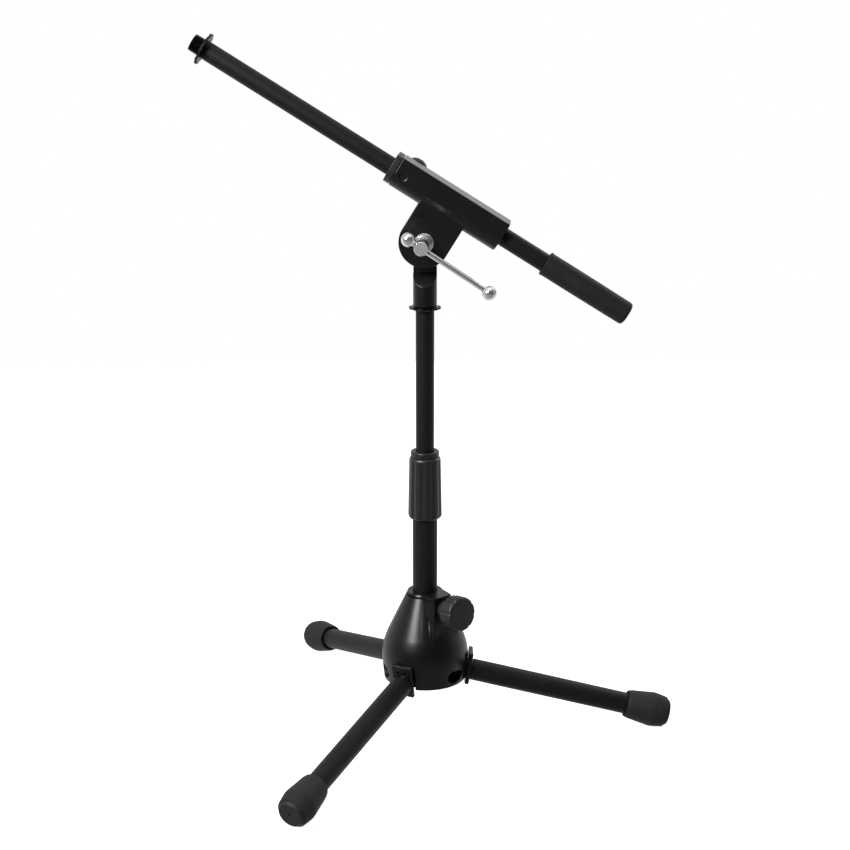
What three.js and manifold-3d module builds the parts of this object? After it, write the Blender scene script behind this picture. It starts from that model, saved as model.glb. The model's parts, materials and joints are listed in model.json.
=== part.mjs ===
// Boom microphone stand: folding tripod base, two-part column and a tilting boom.
// Millimetres, +Z up. The model is built round the column axis and then moved so that
// the origin is the centre of its box, on the floor.
import * as THREE from 'three';
import { mergeVertices } from 'three/addons/utils/BufferGeometryUtils.js';
import Module from 'manifold-3d';

const wasm = await Module();
wasm.setup();

// ---------------------------------------------------------------- driving sizes
const GAP = 0.3; // clearance between touching pieces
const ROUND = 24; // facets on round pieces
const FINE = 36; // facets on the largest round pieces

// base
const LEG_COUNT = 3;
const LEG_SLOPE = 13.75; // degrees below horizontal
const LEG_AXIS_Z = 66; // height at which a leg's axis would cross the column axis
const LEG_R = 9.7;
const LEG_WALL = 1.3;
const HINGE_RHO = 26.6; // hinge pin's distance from the column axis
const PIN_R = 3;
const PIN_HALF = 11;
const TONGUE_HALF = 6;
const EYE_R = 8;
const FLANGE_DISTANCE = 11.2; // pin axis to the flange's inner face
const FLANGE_THICK = 3.8;
const FLANGE_WIDE = 20;
const FLANGE_LOW = -13; // along the flange, from the foot of the pin's perpendicular
const FLANGE_HIGH = 16.8;
const FLANGE_LEAN = 4.7; // degrees between the flange's normal and the leg
const LEG_START = 16.3; // from the pin, along the leg
const LEG_END = 196;
const LEG_TURN = 360 / LEG_COUNT;
const PLUG_LENGTH = 22;

// rubber feet, measured along the leg from the pin
const FOOT_OPEN = 162.6;
const FOOT_LENGTH = 40;
const FOOT_LIP_R = 12.15;
const FOOT_WIDEST = 24;
const FOOT_R = 15.6;
const FOOT_END_R = 12;
const FOOT_MOUTH_R = 11.1;
const FOOT_MOUTH_DEPTH = 7;
const FOOT_FLOOR = 4.5;

// hub casting
const RIM = [37.05, 50.7]; // radius, height
const BELLY = [39.6, 76];
const SHOULDER = [35.7, 90.3];
const COLLAR = [15.6, 132.7];
const HUB_WALL = 3;
const SLEEVE_R = 14.3;
const SLEEVE_LOW = 80;
const SLOT_HALF = 10.4;
const SLOT_TOP = 68;
const SLOT_SPAN = [33, 50]; // from the column axis
const LUG_IN = 6.5;
const LUG_OUT = 9.5;
const LUG_SPAN = [18, 36]; // from the column axis
const LUG_TOP = 112;
const ACCESS_R = 6.5; // guide through which the hinge pin is driven in
const ACCESS_WALL = 1.7;
const REACH = 45; // long enough to pass through the casting
const BOSS_BACK = 6;
const BOSS_LOW = 88;
const BOSS_TOP = 133;
const BOSS_FOOT = [31.2, 15.5]; // front face and half width
const BOSS_HEAD = [24.6, 9.8];
const BOSS_FLARE = 1.34; // how much wider it is at its back
const BOSS_AZIMUTH = -50.7;
const KNOB_TILT = 7; // degrees up, outwards
const KNOB_AXIS_Z = 117.9; // where the screw's axis meets the column axis
const SCREW_R = 3.9;
const KNOB_R = 15.6;
const KNOB_FRONT = 52.2;
const KNOB_THICK = 14.6;
const KNOB_NECK_R = 8.5;
const KNOB_NECK_START = 27.5;
const STUD_START = 15.3;
const STUD_END = 45;
const PAD_CLEAR = 0.9; // the pad is tilted, so its corners need room

// column
const OUTER_R = 11;
const OUTER_WALL = 1.5;
const OUTER_LOW = 52;
const OUTER_TOP = 240;
const INNER_R = 8;
const INNER_WALL = 1.2;
const INNER_LOW = 190;
const INNER_TOP = 388.6;
const CLUTCH_LOW = 201;
const CLUTCH_TOP = 257.5;
const CLUTCH_CAP_TOP = 263.2;
const CLUTCH_LOW_R = 15;
const CLUTCH_TOP_R = 13.9;
const FLUTES = 10;
const INSERT_R = 12.4;
const INSERT_LOW = 206;
const INSERT_TOP = 252;
const COLLET_LOW = 252.4;
const COLLET_R = 11.6;
const COLLET_CAP_R = 12.5;
const PLUG_R = 12.2;
const PLUG_TOP = 60;
const BUSH_LOW = 184;
const BUSH_TOP = 204;
const BUSH_BORE_R = 3;
const MAST_INSERT_LOW = 370;
const MAST_THREAD_TOP = 404;
const THREAD_R = 7.7; // 5/8 inch stud
const RING_R = 13.9;

// swivel
const BOOM_AZIMUTH = -5.1;
const BOOM_ELEVATION = 31.57;
const PIVOT_Z = 448.6;
const STEM_R = 10.25;
const STEM_LOW = 392.1;
const STEM_CUT_Z = 410.3; // where the half-lap starts, on the front of the stem
const RAMP_DROP = 19.75; // how far the lap's ramp runs below its start
const STEM_THREAD_TOP = 405;
const DISC_R = 17;
const CHEEK_R = 21.9;
const CHEEK_FRONT = 11;
const LAP = 1.3; // half the space that holds the friction disc
const TONGUE_R = 20;
const TONGUE_BACK = 10.2;
const BOLT_R = 3.9;
const NUT_R = 7.5;
const NUT_THICK = 6.8;

// T-bar
const WASHER_R = 8.25;
const WASHER_THICK = 2.3;
const HUB_R = 6;
const HUB_END = 44.5;
const ROD_R = 2.4;
const BALL_R = 6.1;
const ROD_BACK = 4.8; // rod axis behind the end of its hub
const ROD_ANGLE = 33; // degrees below horizontal
const BALL_NEAR = 12.6;
const BALL_FAR = 67.4;

// clamp and boom: stations along the boom from the pivot's perpendicular, rear positive
const PIVOT_TO_BOOM = 38.6;
const BOOM_R = 8;
const BOOM_WALL = 1.2;
const CLAMP_FRONT = -57.5;
const CLAMP_REAR = 53.5;
const CLAMP_HALF = 14;
const CLAMP_TOP = 13.5;
const CLAMP_INNER_HALF = 10.7;
const COVER_THICK = 2;
const FLANGE_STATION = -51.8;
const BUSH_LENGTH = 22;
const KNOB_STATION = -39;
const BOOM_KNOB_UP = 4;
const BOOM_KNOB_R = 11;
const BOOM_KNOB_BACK = 30;
const BOOM_KNOB_THICK = 11;
const BOOM_KNOB_NECK_R = 6.5;
const BOOM_STUD_END = 26;
const SHOE_THICK = 2.4;
const RECESS_STATION = -44.3;
const RECESS_R = 4.2;
const RECESS_DEPTH = 1.4;
const BOOM_FRONT = -238.4;
const BOOM_REAR = 175;
const THREAD_END = -252.4;
const BOOM_RING_STATION = -241.2;
const BOOM_RING_R = 14.4;
const GRIP_FRONT = 96.7;
const GRIP_REAR = 179.7;
const GRIP_FRONT_R = 10.8;
const GRIP_REAR_R = 10.25;
const WEIGHT_LENGTH = 70;
const BOOM_INSERT_LENGTH = 16;

const rad = THREE.MathUtils.degToRad;
const HINGE_Z = LEG_AXIS_Z - HINGE_RHO * Math.tan(rad(LEG_SLOPE));

// ---------------------------------------------------------------- materials
const finish = (color, roughness, metalness) => ({ color, roughness, metalness });
const CAST_BLACK = finish(0x1c1c1d, 0.35, 0.2);
const TUBE_BLACK = finish(0x18181a, 0.45, 0.3);
const RUBBER = finish(0x2a2a2b, 0.85, 0);
const PLASTIC = finish(0x202021, 0.5, 0);
const CHROME = finish(0xd8d8da, 0.12, 1);
const STEEL = finish(0x9a9b9e, 0.35, 1);

// ---------------------------------------------------------------- geometry helpers
function lathe(profile, facets = ROUND) {
  // profile: [radius, height] pairs, closed on itself
  const outline = profile.map(([r, z]) => new THREE.Vector2(r, z));
  const ordered = THREE.ShapeUtils.isClockWise(outline) ? outline.reverse() : outline;
  const geometry = new THREE.LatheGeometry([...ordered, ordered[0].clone()], facets);
  return geometry.rotateX(Math.PI / 2);
}

const ring = (inner, outer, low, high, facets = ROUND) =>
  lathe([[inner, low], [outer, low], [outer, high], [inner, high]], facets);

const rod = (radius, low, high, facets = ROUND) => {
  const geometry = new THREE.CylinderGeometry(radius, radius, high - low, facets);
  return geometry.rotateX(Math.PI / 2).translate(0, 0, (low + high) / 2);
};

const block = (x0, x1, y0, y1, z0, z1) =>
  new THREE.BoxGeometry(x1 - x0, y1 - y0, z1 - z0).translate((x0 + x1) / 2, (y0 + y1) / 2, (z0 + z1) / 2);

const alongX = (geometry) => geometry.rotateY(Math.PI / 2); // turns +Z into +X
const alongY = (geometry) => geometry.rotateX(-Math.PI / 2); // turns +Z into +Y

function slab(shape, back, front, curveSegments = 14) {
  // a flat outline in X and Z, thick from y = back to y = front
  const geometry = new THREE.ExtrudeGeometry(shape, { depth: front - back, bevelEnabled: false, curveSegments });
  return geometry.rotateX(Math.PI / 2).translate(0, front, 0);
}

function outline(points) {
  return new THREE.Shape(points.map(([x, y]) => new THREE.Vector2(x, y)));
}

function scalloped(radius, depth, count, stepsPerFlute = 4) {
  // a round outline with shallow flutes cut into it
  const steps = count * stepsPerFlute;
  const points = [];
  for (let i = 0; i < steps; i += 1) {
    const angle = (2 * Math.PI * i) / steps;
    const r = radius - depth * Math.max(0, Math.cos(count * angle)) ** 2;
    points.push([r * Math.cos(angle), r * Math.sin(angle)]);
  }
  return outline(points);
}

function solid(geometry) {
  const bare = geometry.clone();
  bare.deleteAttribute('normal');
  bare.deleteAttribute('uv');
  const merged = mergeVertices(bare, 1e-4);
  return new wasm.Manifold(new wasm.Mesh({
    numProp: 3,
    vertProperties: merged.attributes.position.array,
    triVerts: new Uint32Array(merged.index.array),
  }));
}

function surface(manifold) {
  const { vertProperties, triVerts } = manifold.getMesh();
  const geometry = new THREE.BufferGeometry();
  geometry.setAttribute('position', new THREE.BufferAttribute(vertProperties, 3));
  geometry.setIndex(new THREE.BufferAttribute(triVerts, 1));
  return geometry;
}

const join = (...geometries) => surface(geometries.map(solid).reduce((a, b) => a.add(b)));
const cut = (geometry, ...tools) => surface(tools.map(solid).reduce((a, b) => a.subtract(b), solid(geometry)));
const common = (a, b) => surface(solid(a).intersect(solid(b)));

function add(parent, name, geometry, material) {
  const mesh = new THREE.Mesh(geometry, new THREE.MeshStandardMaterial(material));
  mesh.name = name;
  parent.add(mesh);
  return mesh;
}

function frame(parent, { position = [0, 0, 0], turnZ = 0, tilt = 0 } = {}) {
  // a nested frame: turned about Z, then tipped about its own Y so that +X points down
  const turned = new THREE.Group();
  turned.position.set(...position);
  turned.rotation.z = rad(turnZ);
  const tipped = new THREE.Group();
  tipped.rotation.y = rad(tilt);
  turned.add(tipped);
  parent.add(turned);
  return tipped;
}

const spin = (geometry, degrees) => geometry.rotateZ(rad(degrees));

// ---------------------------------------------------------------- hub casting
function hubShell() {
  const outer = [[OUTER_R + GAP, COLLAR[1]], COLLAR, SHOULDER, BELLY, RIM];
  const slope = new THREE.Vector2(SHOULDER[0] - COLLAR[0], SHOULDER[1] - COLLAR[1]).normalize();
  const innerShoulder = [SHOULDER[0] + slope.y * HUB_WALL, SHOULDER[1] - slope.x * HUB_WALL];
  const sleeveTop = innerShoulder[1] + (innerShoulder[0] - SLEEVE_R) * (-slope.y / slope.x);
  const inner = [
    [RIM[0] - HUB_WALL, RIM[1]],
    [BELLY[0] - HUB_WALL, BELLY[1]],
    innerShoulder,
    [SLEEVE_R, sleeveTop],
    [SLEEVE_R, SLEEVE_LOW],
    [OUTER_R + GAP, SLEEVE_LOW],
  ];
  return lathe([...outer, ...inner], FINE);
}

const hubBody = () => lathe([[0, COLLAR[1]], COLLAR, SHOULDER, BELLY, RIM, [0, RIM[1]]], FINE);

function knobBoss() {
  // a leaning flat-faced block, wider at its foot, that carries the clamping screw
  const [footFront, footHalf] = BOSS_FOOT;
  const [headFront, headHalf] = BOSS_HEAD;
  const face = outline([[BOSS_BACK, BOSS_LOW], [footFront, BOSS_LOW], [headFront, BOSS_TOP], [BOSS_BACK, BOSS_TOP]]);
  const side = slab(face, -footHalf - 1, footHalf + 1);
  const front = outline([[-footHalf, BOSS_LOW], [footHalf, BOSS_LOW], [headHalf, BOSS_TOP], [-headHalf, BOSS_TOP]]);
  const depth = new THREE.ExtrudeGeometry(front, { depth: footFront + 1, bevelEnabled: false });
  depth.rotateX(Math.PI / 2).rotateZ(Math.PI / 2);
  const boss = common(side, depth);
  const { position } = boss.attributes;
  for (let i = 0; i < position.count; i += 1) {
    if (position.getX(i) < BOSS_BACK + 1) {
      position.setY(i, position.getY(i) * BOSS_FLARE);
    }
  }
  return spin(boss, BOSS_AZIMUTH);
}

function screwBore(radius, from, to) {
  const bore = alongX(rod(radius, from, to, 24));
  return spin(bore.rotateY(-rad(KNOB_TILT)).translate(0, 0, KNOB_AXIS_Z), BOSS_AZIMUTH);
}

function hubBell() {
  let casting = solid(hubShell()).add(solid(knobBoss()));
  const envelope = solid(hubBody());
  const guide = alongY(rod(ACCESS_R + ACCESS_WALL, -REACH, -LUG_IN - 1, 28)).translate(HINGE_RHO, 0, HINGE_Z);
  const lugs = [[-LUG_OUT, -LUG_IN], [LUG_IN, LUG_OUT]].map(([near, far]) =>
    block(...LUG_SPAN, near, far, RIM[1] + 1.3, LUG_TOP));
  const slot = block(...SLOT_SPAN, -SLOT_HALF, SLOT_HALF, 0, SLOT_TOP);
  const pinBore = alongY(rod(PIN_R + GAP, -LUG_OUT - 2, LUG_OUT + 2, 20)).translate(HINGE_RHO, 0, HINGE_Z);
  const access = alongY(rod(ACCESS_R, -REACH, -LUG_OUT - 1, 28)).translate(HINGE_RHO, 0, HINGE_Z);
  const round = (geometry) => [0, 1, 2].map((i) => solid(spin(geometry.clone(), i * LEG_TURN)));
  for (const inner of [...lugs, guide].flatMap(round)) {
    casting = casting.add(inner.intersect(envelope));
  }
  for (const opening of [slot, pinBore, access].flatMap(round)) {
    casting = casting.subtract(opening);
  }
  casting = casting.subtract(solid(rod(OUTER_R + GAP, 0, BOSS_TOP + 1)));
  casting = casting.subtract(solid(screwBore(SCREW_R + GAP, OUTER_R - 2, BOSS_FOOT[0] + 1)));
  return surface(casting);
}

// ---------------------------------------------------------------- knobs
function flutedKnob(radius, front, thick, neckRadius, neckStart, boreDepth) {
  // along +X: neck first, then the fluted head, with a blind bore for its screw
  const head = new THREE.ExtrudeGeometry(scalloped(radius, 0.8, 8), {
    depth: thick - 2,
    bevelEnabled: true,
    bevelThickness: 1,
    bevelSize: 1,
    bevelOffset: -1,
    bevelSegments: 1,
  });
  head.translate(0, 0, front - thick + 1);
  const neck = rod(neckRadius, neckStart, front - thick + 1, 28);
  const bore = rod(SCREW_R + GAP, neckStart - 1, boreDepth, 20);
  return alongX(cut(join(head, neck), bore));
}

function addHubKnob(root) {
  const screw = frame(root, { position: [0, 0, KNOB_AXIS_Z], turnZ: BOSS_AZIMUTH, tilt: -KNOB_TILT });
  add(screw, 'hub_pressure_pad', alongX(rod(SCREW_R, OUTER_R + PAD_CLEAR, STUD_START - GAP, 20)), PLASTIC);
  add(screw, 'hub_knob_stud', alongX(rod(SCREW_R, STUD_START, STUD_END, 20)), STEEL);
  add(screw, 'hub_knob', flutedKnob(
    KNOB_R, KNOB_FRONT, KNOB_THICK, KNOB_NECK_R, KNOB_NECK_START, STUD_END + 0.5), PLASTIC);
}

// ---------------------------------------------------------------- legs
function legKnuckle() {
  // hinge eye and tongue, flange that bears on the hub, and the plug inside the tube
  const tongue = new THREE.Shape();
  tongue.absarc(0, 0, EYE_R, Math.PI / 2, (3 * Math.PI) / 2, false);
  tongue.lineTo(FLANGE_DISTANCE + 1.5, -EYE_R);
  tongue.lineTo(FLANGE_DISTANCE + 1.5, EYE_R);
  const web = slab(tongue, -TONGUE_HALF, TONGUE_HALF, 10);
  const flange = block(FLANGE_DISTANCE, FLANGE_DISTANCE + FLANGE_THICK,
    -FLANGE_WIDE / 2, FLANGE_WIDE / 2, FLANGE_LOW, FLANGE_HIGH);
  flange.rotateY(-rad(FLANGE_LEAN));
  const plug = alongX(rod(LEG_R - LEG_WALL - GAP, FLANGE_DISTANCE + 1, LEG_START + PLUG_LENGTH, 28));
  const bore = alongY(rod(PIN_R + GAP, -10, 10, 20));
  return cut(join(web, flange, plug), bore);
}

const legTube = () => alongX(ring(LEG_R - LEG_WALL, LEG_R, LEG_START, LEG_END));

function footProfile() {
  const end = FOOT_OPEN + FOOT_LENGTH;
  return [
    [FOOT_MOUTH_R, FOOT_OPEN],
    [FOOT_LIP_R, FOOT_OPEN],
    [FOOT_R, FOOT_OPEN + FOOT_WIDEST],
    [FOOT_END_R + 0.2, end - 2],
    [FOOT_END_R - 1.4, end - 0.4],
    [FOOT_END_R - 3, end],
    [0, end],
    [0, end - FOOT_FLOOR],
    [LEG_R + GAP, end - FOOT_FLOOR],
    [LEG_R + GAP, FOOT_OPEN + FOOT_MOUTH_DEPTH],
  ];
}

function legFoot() {
  const profile = footProfile().map(([r, z]) => new THREE.Vector2(r, z));
  const turned = new THREE.LatheGeometry([...profile, profile[0].clone()], FINE);
  const body = alongX(turned.rotateX(Math.PI / 2));
  // everything below the floor is trimmed, which leaves a small flat to stand on
  const floor = block(-400, 400, -60, 60, -80, 0);
  floor.translate(-HINGE_RHO, 0, -HINGE_Z).rotateY(-rad(LEG_SLOPE));
  return cut(body, floor);
}

function addLegs(root) {
  const knuckle = legKnuckle();
  const tube = legTube();
  const foot = legFoot();
  for (let i = 0; i < LEG_COUNT; i += 1) {
    const azimuth = LEG_TURN * i;
    const at = [HINGE_RHO * Math.cos(rad(azimuth)), HINGE_RHO * Math.sin(rad(azimuth)), HINGE_Z];
    const leg = frame(root, { position: at, turnZ: azimuth, tilt: LEG_SLOPE });
    const number = i + 1;
    add(leg, `leg_knuckle_${number}`, knuckle.clone(), CAST_BLACK);
    add(leg, `leg_tube_${number}`, tube.clone(), TUBE_BLACK);
    add(leg, `leg_foot_${number}`, foot.clone(), RUBBER);
    add(leg, `hinge_pin_${number}`, alongY(rod(PIN_R, -PIN_HALF, PIN_HALF, 20)), STEEL);
  }
}

// ---------------------------------------------------------------- column
function clutchSleeve() {
  const height = CLUTCH_TOP - CLUTCH_LOW;
  const body = new THREE.ExtrudeGeometry(scalloped(1, 0.05, FLUTES), { depth: height, bevelEnabled: false, steps: 1 });
  const position = body.attributes.position;
  for (let i = 0; i < position.count; i += 1) {
    const radius = THREE.MathUtils.lerp(CLUTCH_LOW_R, CLUTCH_TOP_R, position.getZ(i) / height);
    position.setXY(i, position.getX(i) * radius, position.getY(i) * radius);
  }
  body.translate(0, 0, CLUTCH_LOW);
  const wide = rod(12.8, CLUTCH_LOW - 1, CLUTCH_TOP - 2.5);
  const narrow = rod(11.9, CLUTCH_LOW, CLUTCH_TOP + 1);
  return cut(body, wide, narrow);
}

function clutchInsert() {
  const bore = INNER_R + GAP;
  return lathe([
    [OUTER_R + GAP, INSERT_LOW], [INSERT_R, INSERT_LOW], [INSERT_R, INSERT_TOP],
    [bore, INSERT_TOP], [bore, OUTER_TOP + GAP], [OUTER_R + GAP, OUTER_TOP + GAP],
  ]);
}

const clutchCollet = () => lathe([
  [INNER_R + 0.25, COLLET_LOW], [COLLET_R, COLLET_LOW], [COLLET_R, CLUTCH_TOP + GAP],
  [COLLET_CAP_R, CLUTCH_TOP + GAP], [COLLET_CAP_R, CLUTCH_CAP_TOP], [INNER_R + 0.25, CLUTCH_CAP_TOP],
]);

function columnEndCap() {
  const inside = OUTER_R - OUTER_WALL - GAP;
  return lathe([
    [0, OUTER_LOW - 2], [PLUG_R, OUTER_LOW - 2], [PLUG_R, OUTER_LOW - GAP],
    [inside, OUTER_LOW - GAP], [inside, PLUG_TOP], [0, PLUG_TOP],
  ].reverse());
}

function innerTubeBush() {
  const spigot = INNER_R - INNER_WALL - GAP;
  const guide = OUTER_R - OUTER_WALL - GAP;
  return lathe([
    [BUSH_BORE_R, BUSH_LOW], [guide, BUSH_LOW], [guide, INNER_LOW - GAP],
    [spigot, INNER_LOW - GAP], [spigot, BUSH_TOP], [BUSH_BORE_R, BUSH_TOP],
  ]);
}

const threadedInsert = (inside, shoulder, end) => {
  // a stud with a shoulder: spigot inside the tube, thread beyond it
  const spigot = INNER_R - INNER_WALL - GAP;
  return join(rod(spigot, inside, shoulder), rod(INNER_R, shoulder, shoulder + 1), rod(THREAD_R, shoulder + 0.5, end));
};

function toothedRing(outerRadius, low, high) {
  const plate = new THREE.ExtrudeGeometry(scalloped(outerRadius, 1.2, 12), { depth: high - low, bevelEnabled: false });
  plate.translate(0, 0, low);
  return cut(plate, rod(THREAD_R + GAP, low - 1, high + 1));
}

function addColumn(root) {
  add(root, 'outer_tube', ring(OUTER_R - OUTER_WALL, OUTER_R, OUTER_LOW, OUTER_TOP), TUBE_BLACK);
  add(root, 'column_end_cap', columnEndCap(), PLASTIC);
  add(root, 'clutch_sleeve', clutchSleeve(), PLASTIC);
  add(root, 'clutch_insert', clutchInsert(), PLASTIC);
  add(root, 'clutch_collet', clutchCollet(), PLASTIC);
  add(root, 'inner_tube', ring(INNER_R - INNER_WALL, INNER_R, INNER_LOW, INNER_TOP), TUBE_BLACK);
  add(root, 'inner_tube_bush', innerTubeBush(), PLASTIC);
  add(root, 'mast_thread_insert', threadedInsert(MAST_INSERT_LOW, INNER_TOP + GAP, MAST_THREAD_TOP), STEEL);
  add(root, 'stem_lock_ring', toothedRing(RING_R, INNER_TOP + 1.6, STEM_LOW - GAP), STEEL);
}

// ---------------------------------------------------------------- swivel
function swivelStem() {
  // round post whose front half is cut away for the bracket; heights are from the pivot
  const cutStart = STEM_CUT_Z - PIVOT_Z;
  const post = rod(STEM_R, STEM_LOW - PIVOT_Z, 0);
  const lap = slab(outline([[-30, -30], [30, -30], [30, 30], [-30, 30]]), -30, LAP);
  lap.translate(0, 0, cutStart + STEM_R + LAP + 30);
  const ramp = new THREE.Shape([[-30, cutStart - RAMP_DROP], [LAP, cutStart + STEM_R + LAP], [-30, cutStart + STEM_R + LAP]]
    .map(([y, z]) => new THREE.Vector2(y, z)));
  const wedge = new THREE.ExtrudeGeometry(ramp, { depth: 60, bevelEnabled: false });
  wedge.rotateX(Math.PI / 2).rotateZ(Math.PI / 2).translate(-30, 0, 0);
  const head = alongY(rod(TONGUE_R, LAP, TONGUE_BACK));
  const thread = rod(THREAD_R + GAP, STEM_LOW - PIVOT_Z - 1, STEM_THREAD_TOP - PIVOT_Z);
  const bolt = alongY(rod(BOLT_R + GAP, -20, 20, 24));
  return cut(join(cut(post, lap, wedge), head), thread, bolt);
}

function addSwivel(root) {
  const pivot = frame(root, { position: [0, 0, PIVOT_Z], turnZ: BOOM_AZIMUTH });
  add(pivot, 'swivel_stem', swivelStem(), CAST_BLACK);
  add(pivot, 'friction_disc', alongY(ring(BOLT_R + GAP, DISC_R, -LAP + GAP, LAP - GAP)), RUBBER);
  const hexagon = rod(NUT_R, TONGUE_BACK + GAP, TONGUE_BACK + NUT_THICK, 6);
  add(pivot, 'pivot_nut', alongY(cut(hexagon, rod(BOLT_R + GAP, 0, 30, 24))), STEEL);
  return pivot;
}

// ---------------------------------------------------------------- T-bar
function addTBar(pivot) {
  const face = -CHEEK_FRONT - GAP;
  const hubStart = face - WASHER_THICK - GAP;
  const shank = rod(HUB_R, -HUB_END, hubStart, 28);
  const bolt = rod(BOLT_R, hubStart - 1, TONGUE_BACK + 9, 24);
  const rodLevel = -(HUB_END - ROD_BACK);
  const bore = alongX(rod(ROD_R + GAP, -20, 20, 20));
  // built along +Z, then laid along +Y; the cross hole follows the rod's angle
  bore.translate(0, 0, rodLevel);
  bore.rotateZ(rad(ROD_ANGLE));
  add(pivot, 'tbar_hub', alongY(cut(join(shank, bolt), bore)), CHROME);
  const washer = lathe([[BOLT_R + GAP, hubStart + GAP], [WASHER_R - 1.6, hubStart + GAP], [WASHER_R, hubStart + 1.4],
    [WASHER_R, face], [BOLT_R + GAP, face]]);
  add(pivot, 'tbar_washer', alongY(washer), CHROME);

  const bar = frame(pivot, { position: [0, rodLevel, 0], tilt: ROD_ANGLE });
  add(bar, 'tbar_rod', alongX(rod(ROD_R, -BALL_NEAR, BALL_FAR, 20)), CHROME);
  for (const [name, station] of [['tbar_ball_near', -BALL_NEAR], ['tbar_ball_far', BALL_FAR]]) {
    const ball = new THREE.SphereGeometry(BALL_R, 16, 10).translate(station, 0, 0);
    const socket = alongX(rod(ROD_R + GAP, Math.min(0, station), Math.max(0, station) + GAP, 20));
    if (station < 0) {
      socket.translate(-GAP, 0, 0);
    }
    add(bar, name, cut(ball, socket), CHROME);
  }
}

// ---------------------------------------------------------------- clamp
function channelOutline(half, top) {
  // half-round below, straight sided above; axis of the boom at the origin
  const shape = new THREE.Shape();
  shape.moveTo(half, top);
  shape.lineTo(-half, top);
  shape.lineTo(-half, 0);
  shape.absarc(0, 0, half, Math.PI, 2 * Math.PI, false);
  return shape;
}

function sectionAlongBoom(shape, front, rear) {
  // a section in Y and Z, carried from one station to another
  const geometry = new THREE.ExtrudeGeometry(shape, { depth: rear - front, bevelEnabled: false, curveSegments: 12 });
  return geometry.rotateX(Math.PI / 2).rotateZ(Math.PI / 2).translate(front, 0, PIVOT_TO_BOOM);
}

function bracketCheek() {
  const top = PIVOT_TO_BOOM - 8;
  const shape = new THREE.Shape();
  shape.moveTo(CHEEK_R, top);
  shape.lineTo(-CHEEK_R, top);
  shape.lineTo(-CHEEK_R, 0);
  shape.absarc(0, 0, CHEEK_R, Math.PI, 2 * Math.PI, false);
  return slab(shape, -CHEEK_FRONT, -LAP);
}

function clampBody() {
  const shell = sectionAlongBoom(channelOutline(CLAMP_HALF, CLAMP_TOP), FLANGE_STATION, CLAMP_REAR);
  const trough = sectionAlongBoom(channelOutline(CLAMP_INNER_HALF, CLAMP_TOP + 1), FLANGE_STATION - 1, CLAMP_REAR + 1);
  const rebate = block(FLANGE_STATION - 1, CLAMP_REAR + 1, -CLAMP_HALF + 1.2, CLAMP_HALF - 1.2,
    PIVOT_TO_BOOM + CLAMP_TOP - COVER_THICK - GAP, PIVOT_TO_BOOM + CLAMP_TOP + 5);
  const screw = alongY(rod(SCREW_R + GAP, 0, 20, 20)).translate(KNOB_STATION, 0, PIVOT_TO_BOOM + BOOM_KNOB_UP);
  const recess = alongY(rod(RECESS_R, -CLAMP_HALF - 1, -CLAMP_HALF + RECESS_DEPTH, 24))
    .translate(RECESS_STATION, 0, PIVOT_TO_BOOM);
  const bolt = alongY(rod(BOLT_R + GAP, -20, 5, 24));
  const hollow = cut(join(shell, bracketCheek()), trough);
  return cut(hollow, rebate, screw, recess, bolt);
}

const clampCover = () => block(FLANGE_STATION + GAP, CLAMP_REAR, -CLAMP_HALF + 1.5, CLAMP_HALF - 1.5,
  PIVOT_TO_BOOM + CLAMP_TOP - COVER_THICK, PIVOT_TO_BOOM + CLAMP_TOP);

function boomBush(front, rear, flangeFront) {
  // plastic liner that fills the channel round the boom
  const liner = sectionAlongBoom(
    channelOutline(CLAMP_INNER_HALF - GAP, CLAMP_TOP - COVER_THICK - 2 * GAP), front, rear);
  const bore = alongX(rod(BOOM_R + GAP, CLAMP_FRONT - 2, CLAMP_REAR + 2)).translate(0, 0, PIVOT_TO_BOOM);
  if (flangeFront === undefined) {
    return cut(liner, bore);
  }
  const flange = sectionAlongBoom(channelOutline(CLAMP_HALF - 0.5, CLAMP_TOP - 0.4), flangeFront, FLANGE_STATION - GAP);
  const bridge = sectionAlongBoom(channelOutline(CLAMP_INNER_HALF - GAP, CLAMP_TOP - COVER_THICK - 2 * GAP),
    FLANGE_STATION - 1, front + 0.1);
  return cut(join(liner, flange, bridge), bore);
}

function addClamp(boomFrame) {
  add(boomFrame, 'clamp_body', clampBody(), CAST_BLACK);
  add(boomFrame, 'clamp_cover', clampCover(), CAST_BLACK);
  const relief = alongY(rod(SCREW_R + 1, 0, 20, 20)).translate(KNOB_STATION, 0, PIVOT_TO_BOOM + BOOM_KNOB_UP);
  add(boomFrame, 'front_bush', cut(boomBush(FLANGE_STATION, FLANGE_STATION + BUSH_LENGTH, CLAMP_FRONT), relief), PLASTIC);
  add(boomFrame, 'rear_bush', boomBush(CLAMP_REAR - BUSH_LENGTH, CLAMP_REAR - 0.4), PLASTIC);

  // the clamping screw stands out of the far side and bears on the boom through a shoe
  const screw = frame(boomFrame, { position: [KNOB_STATION, 0, PIVOT_TO_BOOM + BOOM_KNOB_UP], turnZ: 90 });
  const shoeStart = BOOM_R + GAP;
  const shoeEnd = shoeStart + SHOE_THICK;
  add(screw, 'boom_shoe', alongX(rod(SCREW_R, shoeStart, shoeEnd, 20)), PLASTIC);
  add(screw, 'boom_knob_stud', alongX(rod(SCREW_R, shoeEnd + GAP, BOOM_STUD_END, 20)), STEEL);
  add(screw, 'boom_knob', flutedKnob(
    BOOM_KNOB_R, BOOM_KNOB_BACK, BOOM_KNOB_THICK, BOOM_KNOB_NECK_R, CLAMP_HALF + GAP + 0.4, BOOM_STUD_END + 0.5), PLASTIC);
}

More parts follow.
